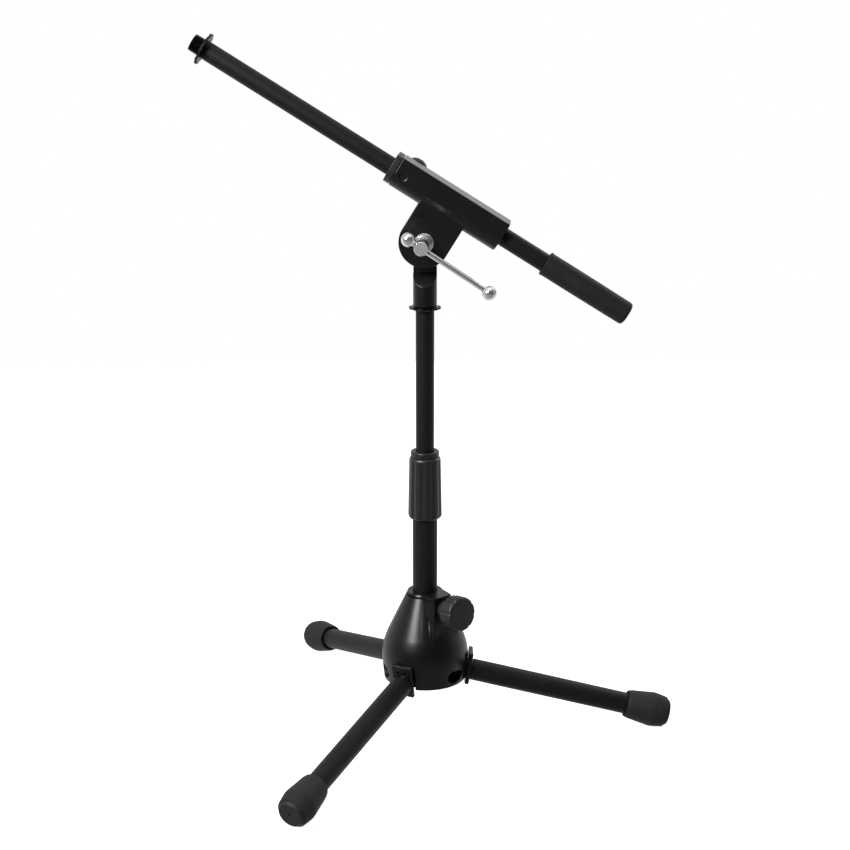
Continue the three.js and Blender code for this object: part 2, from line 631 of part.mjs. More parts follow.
// ---------------------------------------------------------------- boom
function boomGrip() {
  const bore = BOOM_R + GAP;
  const profile = [
    [bore, GRIP_FRONT], [GRIP_FRONT_R - 0.4, GRIP_FRONT], [GRIP_FRONT_R, GRIP_FRONT + 0.8],
    [GRIP_FRONT_R - 0.3, GRIP_FRONT + 2.5], [GRIP_REAR_R, GRIP_REAR - 3], [GRIP_REAR_R - 1, GRIP_REAR - 0.9],
    [GRIP_REAR_R - 3, GRIP_REAR], [0, GRIP_REAR], [0, BOOM_REAR + 1], [bore, BOOM_REAR + 1],
  ].map(([r, z]) => new THREE.Vector2(r, z));
  return new THREE.LatheGeometry([...profile, profile[0].clone()], ROUND).rotateX(Math.PI / 2);
}

function addBoom(boomFrame) {
  const boom = new THREE.Group();
  boom.position.set(0, 0, PIVOT_TO_BOOM);
  boomFrame.add(boom);
  const insideR = BOOM_R - BOOM_WALL - GAP;
  add(boom, 'boom_tube', alongX(ring(BOOM_R - BOOM_WALL, BOOM_R, BOOM_FRONT, BOOM_REAR)), TUBE_BLACK);
  add(boom, 'boom_grip', alongX(boomGrip()), RUBBER);
  add(boom, 'boom_counterweight', alongX(rod(insideR, BOOM_REAR - WEIGHT_LENGTH, BOOM_REAR)), STEEL);
  // built pointing up and then turned to point forwards
  const insert = threadedInsert(-BOOM_FRONT - BOOM_INSERT_LENGTH, -BOOM_FRONT + GAP, -THREAD_END);
  add(boom, 'boom_thread_insert', alongX(insert).rotateZ(Math.PI), STEEL);
  const lockRing = toothedRing(BOOM_RING_R, -BOOM_RING_STATION - 0.9, -BOOM_RING_STATION + 1.3);
  add(boom, 'boom_lock_ring', alongX(lockRing).rotateZ(Math.PI), STEEL);
}

// ---------------------------------------------------------------- assembly
function stand() {
  const root = new THREE.Group();
  add(root, 'hub_bell', hubBell(), CAST_BLACK);
  addHubKnob(root);
  addLegs(root);
  addColumn(root);
  const pivot = addSwivel(root);
  addTBar(pivot);
  const boomFrame = frame(pivot, { tilt: BOOM_ELEVATION });
  addClamp(boomFrame);
  addBoom(boomFrame);
  return root;
}

const model = stand();
model.updateMatrixWorld(true);
const box = new THREE.Box3().setFromObject(model, true);
const centre = box.getCenter(new THREE.Vector3());
model.position.set(-centre.x, -centre.y, -box.min.z);
model.updateMatrixWorld(true);

export default model;
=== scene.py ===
"""Boom microphone stand: its fine pieces, their finishes and the studio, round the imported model."""

import json
import math

import bpy
from mathutils import Matrix, Vector

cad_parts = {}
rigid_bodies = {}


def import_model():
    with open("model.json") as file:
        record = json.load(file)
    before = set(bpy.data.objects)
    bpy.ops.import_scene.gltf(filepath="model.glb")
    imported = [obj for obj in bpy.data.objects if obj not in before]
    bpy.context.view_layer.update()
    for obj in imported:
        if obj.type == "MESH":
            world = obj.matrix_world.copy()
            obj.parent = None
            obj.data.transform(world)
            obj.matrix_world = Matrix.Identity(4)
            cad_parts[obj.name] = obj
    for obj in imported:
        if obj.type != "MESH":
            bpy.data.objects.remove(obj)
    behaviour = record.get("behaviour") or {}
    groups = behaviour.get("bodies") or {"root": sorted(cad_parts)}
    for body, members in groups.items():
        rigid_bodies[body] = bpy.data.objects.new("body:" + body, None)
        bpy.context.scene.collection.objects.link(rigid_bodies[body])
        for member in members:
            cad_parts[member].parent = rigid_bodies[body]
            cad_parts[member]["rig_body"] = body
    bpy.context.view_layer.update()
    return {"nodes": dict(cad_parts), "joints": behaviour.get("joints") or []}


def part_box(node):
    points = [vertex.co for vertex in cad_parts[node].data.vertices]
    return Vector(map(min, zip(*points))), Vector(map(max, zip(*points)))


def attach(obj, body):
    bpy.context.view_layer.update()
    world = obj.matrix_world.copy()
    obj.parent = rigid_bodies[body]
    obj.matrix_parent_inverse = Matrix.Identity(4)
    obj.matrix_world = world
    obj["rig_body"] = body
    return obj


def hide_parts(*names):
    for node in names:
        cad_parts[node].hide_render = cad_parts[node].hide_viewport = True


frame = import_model()

# Pieces are modelled in millimetres round their own axes, and then set in place in metres.
MM = 0.001
SIDES = 96
# A cutting tool that has to pass right through a piece runs this far.
FAR = 60
SAME_POINT = 0.001
SLIVER = 0.004
JOINTS = {joint["name"]: joint for joint in frame["joints"]}


# ---------------------------------------------------------------- places on the stand
class Place:
    """Where a piece is modelled: an origin and square axes, X along the piece."""

    def __init__(self, origin, x, z):
        self.x = Vector(x).normalized()
        upright = Vector(z)
        self.z = (upright - upright.dot(self.x) * self.x).normalized()
        self.y = self.z.cross(self.x)
        self.origin = Vector(origin)
        turn = Matrix((self.x, self.y, self.z)).transposed().to_4x4()
        self.matrix = Matrix.Translation(self.origin) @ turn @ Matrix.Scale(MM, 4)

    def reach(self, node):
        """The lowest and highest corner of a CAD node along this place's axes, in millimetres."""
        back = self.matrix.inverted()
        points = [back @ vertex.co for vertex in frame["nodes"][node].data.vertices]
        low = Vector([min(point[i] for point in points) for i in range(3)])
        high = Vector([max(point[i] for point in points) for i in range(3)])
        return low, high


def centre(node):
    low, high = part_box(node)
    return (low + high) / 2


UP = Vector((0, 0, 1))
AXIS = centre("outer_tube")
COLUMN = Place((AXIS.x, AXIS.y, 0), (1, 0, 0), UP)


def leg_place(number):
    hinge = JOINTS[f"leg_{number}_fold"]
    pin = Vector(hinge["pos_m"])
    along = centre(f"leg_tube_{number}") - pin
    return Place(pin, along, UP)


def swivel_place():
    tilt = JOINTS["boom_tilt"]
    return Place(tilt["pos_m"], Vector(tilt["axis"]).cross(UP), UP)


def screw_place(joint):
    return Place(JOINTS[joint]["pos_m"], JOINTS[joint]["axis"], UP)


LEGS = {number: leg_place(number) for number in (1, 2, 3)}
HUB_SCREW = screw_place("hub_knob_turn")
BOOM_SCREW = screw_place("boom_knob_turn")
SWIVEL = swivel_place()
BOOM = Place(SWIVEL.origin, -Vector(JOINTS["boom_slide"]["axis"]), UP)
BOOM_AXIS_Z = sum(corner.z for corner in BOOM.reach("boom_tube")) / 2
ON_BOOM = Place(BOOM.origin + BOOM.z * BOOM_AXIS_Z * MM, BOOM.x, BOOM.z)
TBAR = Place(centre("tbar_rod"), -Vector(JOINTS["tbar_slide"]["axis"]), UP)


# ---------------------------------------------------------------- modelling moves
def only(piece):
    bpy.ops.object.select_all(action="DESELECT")
    piece.select_set(True)
    bpy.context.view_layer.objects.active = piece


def freeze(piece):
    """Puts a piece's place, turn and scale into its mesh."""
    only(piece)
    bpy.ops.object.transform_apply(location=True, rotation=True, scale=True)
    return piece


def moved(piece, x=0, y=0, z=0):
    piece.location = (x, y, z)
    return freeze(piece)


def turned_by(piece, x=0, y=0, z=0):
    piece.rotation_euler = (math.radians(x), math.radians(y), math.radians(z))
    return freeze(piece)


def laid_x(piece):
    return turned_by(piece, y=90)


def laid_y(piece):
    return turned_by(piece, x=-90)


def pick(piece, test, kind="FACE"):
    """Selects the faces or vertices that pass a test, and leaves the piece in edit mode."""
    if piece.mode != "EDIT":
        only(piece)
        bpy.ops.object.mode_set(mode="EDIT")
    bpy.ops.mesh.select_mode(type=kind)
    bpy.ops.mesh.select_all(action="DESELECT")
    bpy.ops.object.mode_set(mode="OBJECT")
    parts = piece.data.polygons if kind == "FACE" else piece.data.vertices
    for part in parts:
        part.select = test(part)
    bpy.ops.object.mode_set(mode="EDIT")


def done():
    bpy.ops.object.mode_set(mode="OBJECT")


def turned(stations, sides=SIDES, hollow=False):
    """A piece turned on a lathe: rings of (radius, height) stacked along Z."""
    bpy.ops.object.select_all(action="DESELECT")
    radius, height = stations[0]
    fill = "NOTHING" if hollow else "NGON"
    bpy.ops.mesh.primitive_circle_add(vertices=sides, radius=radius, location=(0, 0, height), fill_type=fill)
    piece = freeze(bpy.context.object)
    bpy.ops.object.mode_set(mode="EDIT")
    bpy.ops.mesh.select_mode(type="VERT")
    bpy.ops.mesh.select_all(action="SELECT")
    rest = [*stations[1:], stations[0]] if hollow else stations[1:]
    for next_radius, next_height in rest:
        bpy.ops.mesh.extrude_region_move(TRANSFORM_OT_translate={"value": (0, 0, next_height - height)})
        share = next_radius / radius
        bpy.ops.transform.resize(value=(share, share, 1), center_override=(0, 0, next_height))
        radius, height = next_radius, next_height
    bpy.ops.mesh.select_all(action="SELECT")
    bpy.ops.mesh.remove_doubles(threshold=SAME_POINT)
    bpy.ops.mesh.normals_make_consistent(inside=False)
    done()
    return piece


def bar(radius, low, high, chamfer):
    """The stations of a round bar with chamfered ends."""
    return [(radius - chamfer, low), (radius, low + chamfer),
            (radius, high - chamfer), (radius - chamfer, high)]


def edge(radius, height, steps):
    """The stations of a shaped edge, each a small step outwards and upwards from its corner."""
    return [(radius + out, height + up) for out, up in steps]


def drum(radius, low, high, sides=SIDES):
    bpy.ops.object.select_all(action="DESELECT")
    bpy.ops.mesh.primitive_cylinder_add(vertices=sides, radius=radius, depth=high - low,
                                        location=(0, 0, (low + high) / 2))
    return freeze(bpy.context.object)


def block(low, high):
    bpy.ops.object.select_all(action="DESELECT")
    low, high = Vector(low), Vector(high)
    bpy.ops.mesh.primitive_cube_add(size=1, location=(low + high) / 2, scale=high - low)
    return freeze(bpy.context.object)


def half_round(radius, top, low, high, sides=SIDES):
    """A bar along Z, round on its +X side and carried straight out to a flat face at x = -top."""
    piece = drum(radius, low, high, sides)
    bpy.ops.object.mode_set(mode="EDIT")
    bpy.ops.mesh.select_all(action="SELECT")
    bpy.ops.mesh.bisect(plane_co=(0, 0, 0), plane_no=(-1, 0, 0), use_fill=True, clear_outer=True)
    pick(piece, lambda face: face.normal.x < -0.99)
    bpy.ops.mesh.extrude_region_move(TRANSFORM_OT_translate={"value": (-top, 0, 0)})
    done()
    return piece


def apply(piece, modifier):
    only(piece)
    bpy.ops.object.modifier_apply(modifier=modifier.name)


def combine(piece, others, operation):
    for other in others:
        modifier = piece.modifiers.new(operation.lower(), "BOOLEAN")
        modifier.operation = operation
        modifier.solver = "EXACT"
        modifier.object = other
        apply(piece, modifier)
        bpy.data.objects.remove(other)
    return piece


def weld(piece, *others):
    return combine(piece, others, "UNION")


def cut(piece, *tools):
    return combine(piece, tools, "DIFFERENCE")


def kept_inside(piece, *tools):
    return combine(piece, tools, "INTERSECT")


def cleaned(piece):
    """Merges the slivers that a cut leaves behind."""
    only(piece)
    bpy.ops.object.mode_set(mode="EDIT")
    bpy.ops.mesh.select_mode(type="VERT")
    bpy.ops.mesh.select_all(action="SELECT")
    bpy.ops.mesh.remove_doubles(threshold=SLIVER)
    bpy.ops.mesh.dissolve_degenerate(threshold=SLIVER)
    done()
    return piece


def soften(piece, width, segments=3, angle=30):
    """Rounds every edge that turns by more than an angle."""
    cleaned(piece)
    modifier = piece.modifiers.new("soften", "BEVEL")
    modifier.width = width
    modifier.segments = segments
    modifier.limit_method = "ANGLE"
    modifier.angle_limit = math.radians(angle)
    apply(piece, modifier)
    return piece


def wave(point, count, phase):
    """1 in the middle of a flute, -1 on the land between two, for flutes spaced round the axis."""
    return math.cos(count * (math.atan2(point.y, point.x) - math.radians(phase)))


def flute(piece, depth_at):
    """Draws a turned piece in towards its axis, by the share that depth_at gives for each point."""
    groups = {}
    for vertex in piece.data.vertices:
        groups.setdefault(round(depth_at(vertex.co), 4), set()).add(vertex.index)
    for depth, members in groups.items():
        if depth > 0:
            pick(piece, lambda vertex, members=members: vertex.index in members, "VERT")
            bpy.ops.transform.resize(value=(1 - depth, 1 - depth, 1), center_override=(0, 0, 0))
    done()
    return piece


def thread(radius, depth, pitch, low, high, steps=64):
    """A screw thread: one tooth swept up a helix, then trimmed square at both ends."""
    bpy.ops.object.select_all(action="DESELECT")
    bpy.ops.mesh.primitive_plane_add(size=1, location=(radius - depth, 0, low - 2 * pitch))
    piece = freeze(bpy.context.object)
    bpy.ops.object.mode_set(mode="EDIT")
    bpy.ops.mesh.select_mode(type="VERT")
    bpy.ops.mesh.select_all(action="SELECT")
    bpy.ops.mesh.merge(type="CENTER")
    for run in (depth, -depth):
        bpy.ops.mesh.extrude_region_move(TRANSFORM_OT_translate={"value": (run, 0, pitch / 2)})
    done()
    modifier = piece.modifiers.new("helix", "SCREW")
    modifier.screw_offset = pitch
    modifier.iterations = math.ceil((high - low) / pitch) + 4
    modifier.steps = steps
    modifier.render_steps = steps
    apply(piece, modifier)
    bpy.ops.object.mode_set(mode="EDIT")
    bpy.ops.mesh.select_all(action="SELECT")
    bpy.ops.mesh.remove_doubles(threshold=SAME_POINT)
    bpy.ops.mesh.bisect(plane_co=(0, 0, high), plane_no=(0, 0, 1), use_fill=True, clear_outer=True)
    bpy.ops.mesh.select_all(action="SELECT")
    bpy.ops.mesh.bisect(plane_co=(0, 0, low), plane_no=(0, 0, -1), use_fill=True, clear_outer=True)
    bpy.ops.mesh.select_all(action="SELECT")
    bpy.ops.mesh.normals_make_consistent(inside=False)
    done()
    return piece


# ---------------------------------------------------------------- finishes
class Value:
    """A shader socket that Python's operators turn into Math nodes."""

    def __init__(self, recipe, socket):
        self.recipe = recipe
        self.socket = socket

    def math(self, operation, a, b):
        return self.recipe.node("ShaderNodeMath", {"operation": operation}, {0: a, 1: b})

    def __add__(self, other):
        return self.math("ADD", self, other)

    __radd__ = __add__

    def __mul__(self, other):
        return self.math("MULTIPLY", self, other)

    __rmul__ = __mul__

    def __sub__(self, other):
        return self.math("SUBTRACT", self, other)

    def __rsub__(self, other):
        return self.math("SUBTRACT", other, self)


class Finish:
    """A procedural material in the making."""

    def __init__(self, name, **constants):
        self.material = bpy.data.materials.new(name)
        self.material.use_nodes = True
        self.tree = self.material.node_tree
        self.surface = self.tree.nodes["Principled BSDF"]
        for socket, value in constants.items():
            self.surface.inputs[socket.replace("_", " ").title().replace("Ior", "IOR")].default_value = value
        self.place = self.node("ShaderNodeTexCoord", output="Object")

    def node(self, kind, settings=None, sockets=None, output=0):
        """Adds a node: its settings first, then the values or links of its sockets."""
        node = self.tree.nodes.new(kind)
        for name, value in (settings or {}).items():
            setattr(node, name, value)
        for name, value in (sockets or {}).items():
            if isinstance(value, Value):
                self.tree.links.new(value.socket, node.inputs[name])
            else:
                node.inputs[name].default_value = value
        return Value(self, node.outputs[output])

    def feed(self, socket, value):
        self.tree.links.new(value.socket, self.surface.inputs[socket])

    def noise(self, size, detail=2.0, rough=0.5):
        """Noise whose features are about a size in millimetres, from 0 to 1."""
        sockets = {"Vector": self.place, "Scale": 1 / (size * MM), "Detail": detail, "Roughness": rough}
        return self.node("ShaderNodeTexNoise", None, sockets)

    def mix(self, share, first, second):
        return self.node("ShaderNodeMix", {"data_type": "RGBA"}, {0: share, 6: first, 7: second}, output=2)

    def range(self, value, low, high):
        """0 where a value is low or less, 1 where it is high or more, and even between them."""
        return self.node("ShaderNodeMapRange", None, {"Value": value, "From Min": low, "From Max": high})

    def bump(self, height, depth, strength=1.0, under=None):
        """A relief of a depth in millimetres, laid over another one."""
        sockets = {"Height": height, "Distance": depth * MM, "Strength": strength}
        if under is not None:
            sockets["Normal"] = under
        return self.node("ShaderNodeBump", None, sockets)


def grey(level, tint=0.0):
    """A linear grey, a little blue where the tint is above 0."""
    return (level, level, level * (1 + tint), 1)


def powder_coat(name, level, roughness, peel, grain, shine=0.45):
    """Black powder coat: a fine orange peel, a satin that varies slowly, and a faint handling haze."""
    finish = Finish(name, specular_ior_level=shine)
    slow = finish.noise(28, 3)
    fine = finish.noise(grain, 2)
    haze = finish.range(finish.noise(9, 4, rough=0.65), 0.45, 0.75)
    finish.feed("Base Color", finish.mix(slow, grey(level * 0.85, 0.03), grey(level * 1.2, 0.06)))
    finish.feed("Roughness", roughness + (slow - 0.5) * 0.06 + haze * 0.05 + (fine - 0.5) * 0.05)
    waviness = finish.bump(finish.noise(grain * 6, 2), peel * 2, 0.35)
    finish.feed("Normal", finish.bump(fine, peel, 0.5, under=waviness))
    return finish.material


def rubber(name, level, roughness, grain, depth):
    """Moulded rubber: a dull grain with a paler bloom that comes and goes."""
    finish = Finish(name, specular_ior_level=0.35)
    bloom = finish.range(finish.noise(14, 5, rough=0.6), 0.4, 0.8)
    pores = finish.noise(grain, 3, rough=0.6)
    finish.feed("Base Color", finish.mix(bloom * 0.8, grey(level), grey(level * 1.45)))
    finish.feed("Roughness", roughness + bloom * 0.1 - (pores - 0.5) * 0.15)
    finish.feed("Normal", finish.bump(pores, depth, 0.8))
    return finish.material


def moulding(name, level, roughness, grain=0.35):
    """Black moulded plastic with a spark-eroded texture."""
    finish = Finish(name, specular_ior_level=0.5)
    spark = finish.node("ShaderNodeTexVoronoi", None, {"Vector": finish.place, "Scale": 1 / (grain * MM)})
    slow = finish.noise(11, 3)
    finish.feed("Base Color", finish.mix(slow, grey(level * 0.85), grey(level * 1.25)))
    finish.feed("Roughness", roughness + (slow - 0.5) * 0.1)
    finish.feed("Normal", finish.bump(spark, 0.02, 0.45))
    return finish.material


def chrome_plate(name, level, roughness, grain):
    """Bright plate over turned steel: a fine unevenness under a slow cloudiness."""
    finish = Finish(name, metallic=0.9)
    fine = finish.noise(grain, 2, rough=0.7)
    cloud = finish.noise(4, 3)
    finish.feed("Base Color", finish.mix(cloud, grey(level * 0.94, 0.01), grey(level, 0.015)))
    finish.feed("Roughness", roughness + (cloud - 0.4) * 0.07 + (fine - 0.5) * 0.06)
    finish.feed("Normal", finish.bump(fine, 0.002, 0.1))
    return finish.material


def plated_steel(name, level, roughness, tint):
    """Zinc or blackened steel: mottled, and shinier in the places that are rubbed."""
    finish = Finish(name, metallic=1.0)
    mottle = finish.noise(1.6, 4, rough=0.6)
    rubbed = finish.range(finish.noise(0.7, 3), 0.55, 0.75)
    finish.feed("Base Color", finish.mix(mottle, grey(level * 0.8, tint), grey(level * 1.15, tint)))
    finish.feed("Roughness", roughness + (mottle - 0.5) * 0.2 - rubbed * 0.12)
    finish.feed("Normal", finish.bump(mottle, 0.015, 0.4))
    return finish.material


FINISHES = {
    "cast_black": powder_coat("cast black finish", level=0.003, roughness=0.29, peel=0.006, grain=0.5,
                              shine=0.42),
    "tube_black": powder_coat("tube black finish", level=0.004, roughness=0.46, peel=0.008, grain=0.4,
                              shine=0.22),
    "lid_black": powder_coat("lid black finish", level=0.005, roughness=0.2, peel=0.003, grain=0.5,
                             shine=0.85),
    "foot_rubber": rubber("foot rubber finish", level=0.0065, roughness=0.62, grain=0.5, depth=0.04),
    "grip_rubber": rubber("grip rubber finish", level=0.0035, roughness=0.6, grain=0.35, depth=0.05),
    "clutch_plastic": moulding("clutch plastic finish", level=0.008, roughness=0.36),
    "knob_plastic": moulding("knob plastic finish", level=0.006, roughness=0.5),
    "inner_plastic": moulding("inner plastic finish", level=0.007, roughness=0.45),
    "chrome": chrome_plate("chrome finish", level=0.82, roughness=0.13, grain=0.5),
    "zinc_steel": plated_steel("zinc steel finish", level=0.42, roughness=0.34, tint=0.03),
    "black_steel": plated_steel("black steel finish", level=0.035, roughness=0.36, tint=0.03),
}
TURNED_FACE = chrome_plate("turned face", level=0.55, roughness=0.42, grain=0.3)


def fit(piece, name, place, slot, *nodes, smooth=35):
    """Sets a finished piece in place, in metres, and gives it its finish and its body."""
    only(piece)
    bpy.ops.object.shade_smooth_by_angle(angle=math.radians(smooth))
    flatten = piece.modifiers.new("flatten", "WEIGHTED_NORMAL")
    flatten.keep_sharp = True
    apply(piece, flatten)
    piece.matrix_world = place.matrix
    freeze(piece)
    piece.name = piece.data.name = name
    if not piece.data.materials:
        piece.data.materials.append(FINISHES[slot])
    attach(piece, frame["nodes"][nodes[0]]["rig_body"])
    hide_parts(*nodes)
    return piece


def twin(piece):
    """A copy with its own mesh."""
    copy = piece.copy()
    copy.data = piece.data.copy()
    bpy.context.scene.collection.objects.link(copy)
    return copy


# ---------------------------------------------------------------- bell
THIRDS = (0, 120, 240)
BELL_RIM = (37.05, 50.7)
BELL_BELLY = (39.6, 76)
BELL_SHOULDER = (35.7, 90.3)
BELL_COLLAR = (15.6, 132.7)
BELL_WALL = 3
BELL_SIDES = 144
BELLY_ROUND = 7
SHOULDER_ROUND = 5.5
SLEEVE_R = 14.3
SLEEVE_LOW = 80
TUBE_CLEAR_R = 11.3
SCREW_CLEAR_R = 4.2

PIN_RHO = (LEGS[1].origin.xy - COLUMN.origin.xy).length / MM
PIN_Z = LEGS[1].origin.z / MM
PIN_CLEAR_R = 3.3
PIN_BORE_HALF = 14
ACCESS_R = 6.5
ACCESS_WALL = 1.7
LUG_IN, LUG_OUT = 6.5, 9.5
LUG_START, LUG_END = 18, 36
LUG_LOW, LUG_HIGH = BELL_RIM[1] + 1.3, 112
LUG_SINK = 0.6
LEG_SLOT_R = 33
LEG_SLOT_HALF = 10.4
LEG_SLOT_TOP = 68

BOSS_AZIMUTH = math.degrees(math.atan2(HUB_SCREW.x.y, HUB_SCREW.x.x))
BOSS_BACK = 6
BOSS_LOW = 88
BOSS_TOP = 133
BOSS_SPARE = 7
BOSS_FOOT = (31.2, 15.5)
BOSS_HEAD = (24.6, 9.8)
BOSS_FLARE = 1.34
GROOVE_LOW, GROOVE_HIGH = 129.4, 131.2
GROOVE_R = 14.9
GROOVE_INSET = 1.3


def bell_profile():
    """The bell's stations outside, from rim to collar, and inside, from sleeve to rim."""
    slope = Vector((BELL_SHOULDER[0] - BELL_COLLAR[0], BELL_SHOULDER[1] - BELL_COLLAR[1])).normalized()
    inner_shoulder = (BELL_SHOULDER[0] + slope.y * BELL_WALL, BELL_SHOULDER[1] - slope.x * BELL_WALL)
    sleeve_top = inner_shoulder[1] - (inner_shoulder[0] - SLEEVE_R) * slope.y / slope.x
    outside = [BELL_RIM, BELL_BELLY, BELL_SHOULDER, BELL_COLLAR, (TUBE_CLEAR_R, BELL_COLLAR[1])]
    inside = [(TUBE_CLEAR_R, SLEEVE_LOW), (SLEEVE_R, SLEEVE_LOW), (SLEEVE_R, sleeve_top), inner_shoulder,
              (BELL_BELLY[0] - BELL_WALL, BELL_BELLY[1]), (BELL_RIM[0] - BELL_WALL, BELL_RIM[1])]
    return outside, inside


def round_ring(piece, radius, height, width, segments):
    """Rounds the ring edge at one station of a turned piece."""
    pick(piece, lambda v: abs(v.co.z - height) < 0.01 and abs(v.co.xy.length - radius) < 0.05, "VERT")
    bpy.ops.mesh.select_mode(type="EDGE")
    bpy.ops.mesh.bevel(offset=width, segments=segments, affect="EDGES")
    done()


def bell_shell():
    outside, inside = bell_profile()
    shell = turned([*outside, *inside], BELL_SIDES, hollow=True)
    round_ring(shell, *BELL_BELLY, width=BELLY_ROUND, segments=6)
    round_ring(shell, *BELL_SHOULDER, width=SHOULDER_ROUND, segments=5)
    return shell


def boss(inset=0.0):
    """The leaning block that carries the clamping screw: wide at its foot, flat in front."""
    share = 1 + BOSS_SPARE / (BOSS_TOP - BOSS_LOW)
    front, half = (foot - inset for foot in BOSS_FOOT)
    front_shift, half_shift = ((head - foot) * share for foot, head in zip(BOSS_FOOT, BOSS_HEAD))
    piece = block((BOSS_BACK, -half, BOSS_LOW), (front, half, BOSS_TOP + BOSS_SPARE))
    pick(piece, lambda v: v.co.z > BOSS_TOP, "VERT")
    bpy.ops.transform.resize(value=(1, 1 + half_shift / half, 1), center_override=(0, 0, BOSS_TOP))
    pick(piece, lambda v: v.co.z > BOSS_TOP and v.co.x > BOSS_BACK + 1, "VERT")
    bpy.ops.transform.translate(value=(front_shift, 0, 0))
    pick(piece, lambda v: v.co.x < BOSS_BACK + 1, "VERT")
    bpy.ops.transform.resize(value=(1, BOSS_FLARE, 1), center_override=(0, 0, 0))
    done()
    if not inset:
        soften(piece, 1.0, segments=4)
        cut(piece, block((-FAR, -FAR, BOSS_TOP), (FAR, FAR, BOSS_TOP + FAR)))
    return turned_by(piece, z=BOSS_AZIMUTH)


def collar_groove():
    """The thin slot under the bell's top plate, round the collar and the boss."""
    slab = block((-FAR, -FAR, GROOVE_LOW), (FAR, FAR, GROOVE_HIGH))
    return cut(slab, weld(drum(GROOVE_R, GROOVE_LOW - 10, GROOVE_HIGH + 10), boss(GROOVE_INSET)))


def inside_bell(piece):
    """Trims a piece so that it ends within the bell's wall."""
    outside, _ = bell_profile()
    return kept_inside(piece, turned([(radius - LUG_SINK, height) for radius, height in outside[:4]]))


def along_pin(radius, low, high, sides, turn):
    """A round tool on the line of one leg's hinge pin."""
    return turned_by(moved(laid_y(drum(radius, low, high, sides)), x=PIN_RHO, z=PIN_Z), z=turn)


def bell():
    piece = weld(bell_shell(), boss())
    for turn in THIRDS:
        for low, high in ((-LUG_OUT, -LUG_IN), (LUG_IN, LUG_OUT)):
            lug = block((LUG_START, low, LUG_LOW), (LUG_END, high, LUG_HIGH))
            weld(piece, inside_bell(turned_by(lug, z=turn)))
    for turn in THIRDS:
        weld(piece, inside_bell(along_pin(ACCESS_R + ACCESS_WALL, -FAR, 1 - LUG_OUT, 64, turn)))
    for turn in THIRDS:
        slot = block((LEG_SLOT_R, -LEG_SLOT_HALF, 0), (FAR, LEG_SLOT_HALF, LEG_SLOT_TOP))
        cut(piece, turned_by(slot, z=turn), along_pin(PIN_CLEAR_R, -PIN_BORE_HALF, PIN_BORE_HALF, 32, turn),
            along_pin(ACCESS_R, -FAR, -1 - LUG_OUT, 64, turn))
    tilt = math.degrees(math.asin(HUB_SCREW.x.z))
    bore = turned_by(laid_x(drum(SCREW_CLEAR_R, TUBE_CLEAR_R - 2, FAR, sides=48)), y=-tilt)
    bore = turned_by(moved(bore, z=HUB_SCREW.origin.z / MM), z=BOSS_AZIMUTH)
    cut(piece, drum(TUBE_CLEAR_R, 0, BOSS_TOP + 10), bore, collar_groove())
    soften(piece, 0.45, segments=2, angle=40)
    fit(piece, "bell", COLUMN, "cast_black", "hub_bell")


# ---------------------------------------------------------------- knobs
KNOB_FLUTES = 8
KNOB_PHASE = -14.5
KNOB_BACK_EDGE = ((-2.2, 0), (-0.7, 0.5), (0, 1.6))
KNOB_FACE_EDGE = ((0, -2.4), (-0.35, -1.3), (-1.2, -0.5), (-2.6, -0.15))
KNOB_SKIN = 4.8
SCREW_PITCH = 1.25
SCREW_TOOTH = 0.5


def knob(place, node, thick, neck_radius, share):
    """A fluted hand knob along X: neck, skirt and a slightly domed face."""
    low, high = place.reach(node)
    radius, front = high.z, high.x
    back = front - thick
    head = turned([*edge(radius, back, KNOB_BACK_EDGE), (radius, back + thick * 0.5),
                   *edge(radius, front, KNOB_FACE_EDGE), (radius * 0.45, front), (radius * 0.1, front)],
                  KNOB_FLUTES * 24)

    def depth_at(point):
        on_face = point.z > front - 0.4
        return 0 if on_face else share * max(0.0, wave(point, KNOB_FLUTES, KNOB_PHASE)) ** 6

    flute(head, depth_at)
    neck = turned([(neck_radius, low.x), (neck_radius, low.x + 0.4), (neck_radius + 0.6, back + 1)], sides=72)
    return laid_x(cut(weld(head, neck), drum(SCREW_CLEAR_R, low.x - 1, front - KNOB_SKIN, sides=48)))


def knob_screw(place, node):
    low, high = place.reach(node)
    return laid_x(thread(high.z, SCREW_TOOTH, SCREW_PITCH, low.x, high.x, 40))


def hub_knob():
    piece = knob(HUB_SCREW, "hub_knob", thick=14.6, neck_radius=8.5, share=0.05)
    fit(piece, "column_knob", HUB_SCREW, "knob_plastic", "hub_knob", smooth=30)
    screw = knob_screw(HUB_SCREW, "hub_knob_stud")
    fit(screw, "column_knob_stud", HUB_SCREW, "zinc_steel", "hub_knob_stud", smooth=30)


def boom_knob():
    piece = knob(BOOM_SCREW, "boom_knob", thick=11, neck_radius=6.5, share=0.02)
    fit(piece, "boom_knob_fluted", BOOM_SCREW, "knob_plastic", "boom_knob", smooth=30)
    screw = knob_screw(BOOM_SCREW, "boom_knob_stud")
    fit(screw, "boom_knob_screw", BOOM_SCREW, "zinc_steel", "boom_knob_stud", smooth=30)


# ---------------------------------------------------------------- legs
EYE_R = 8
EYE_HALF = 6
TONGUE_REACH = 12.7
PLATE_BACK, PLATE_FRONT = 11.2, 15
PLATE_HALF = 10
PLATE_LOW, PLATE_HIGH = -13, 16.8
PLATE_LEAN = 4.7
HOLE_R = 1.5
HOLE_SIDE = 3.5
HOLE_Z = 11.6
COLLAR_R = 9.1
COLLAR_END = 16
PLUG_R = 8.1
PLUG_END = 39
LEG_WALL = 1.3

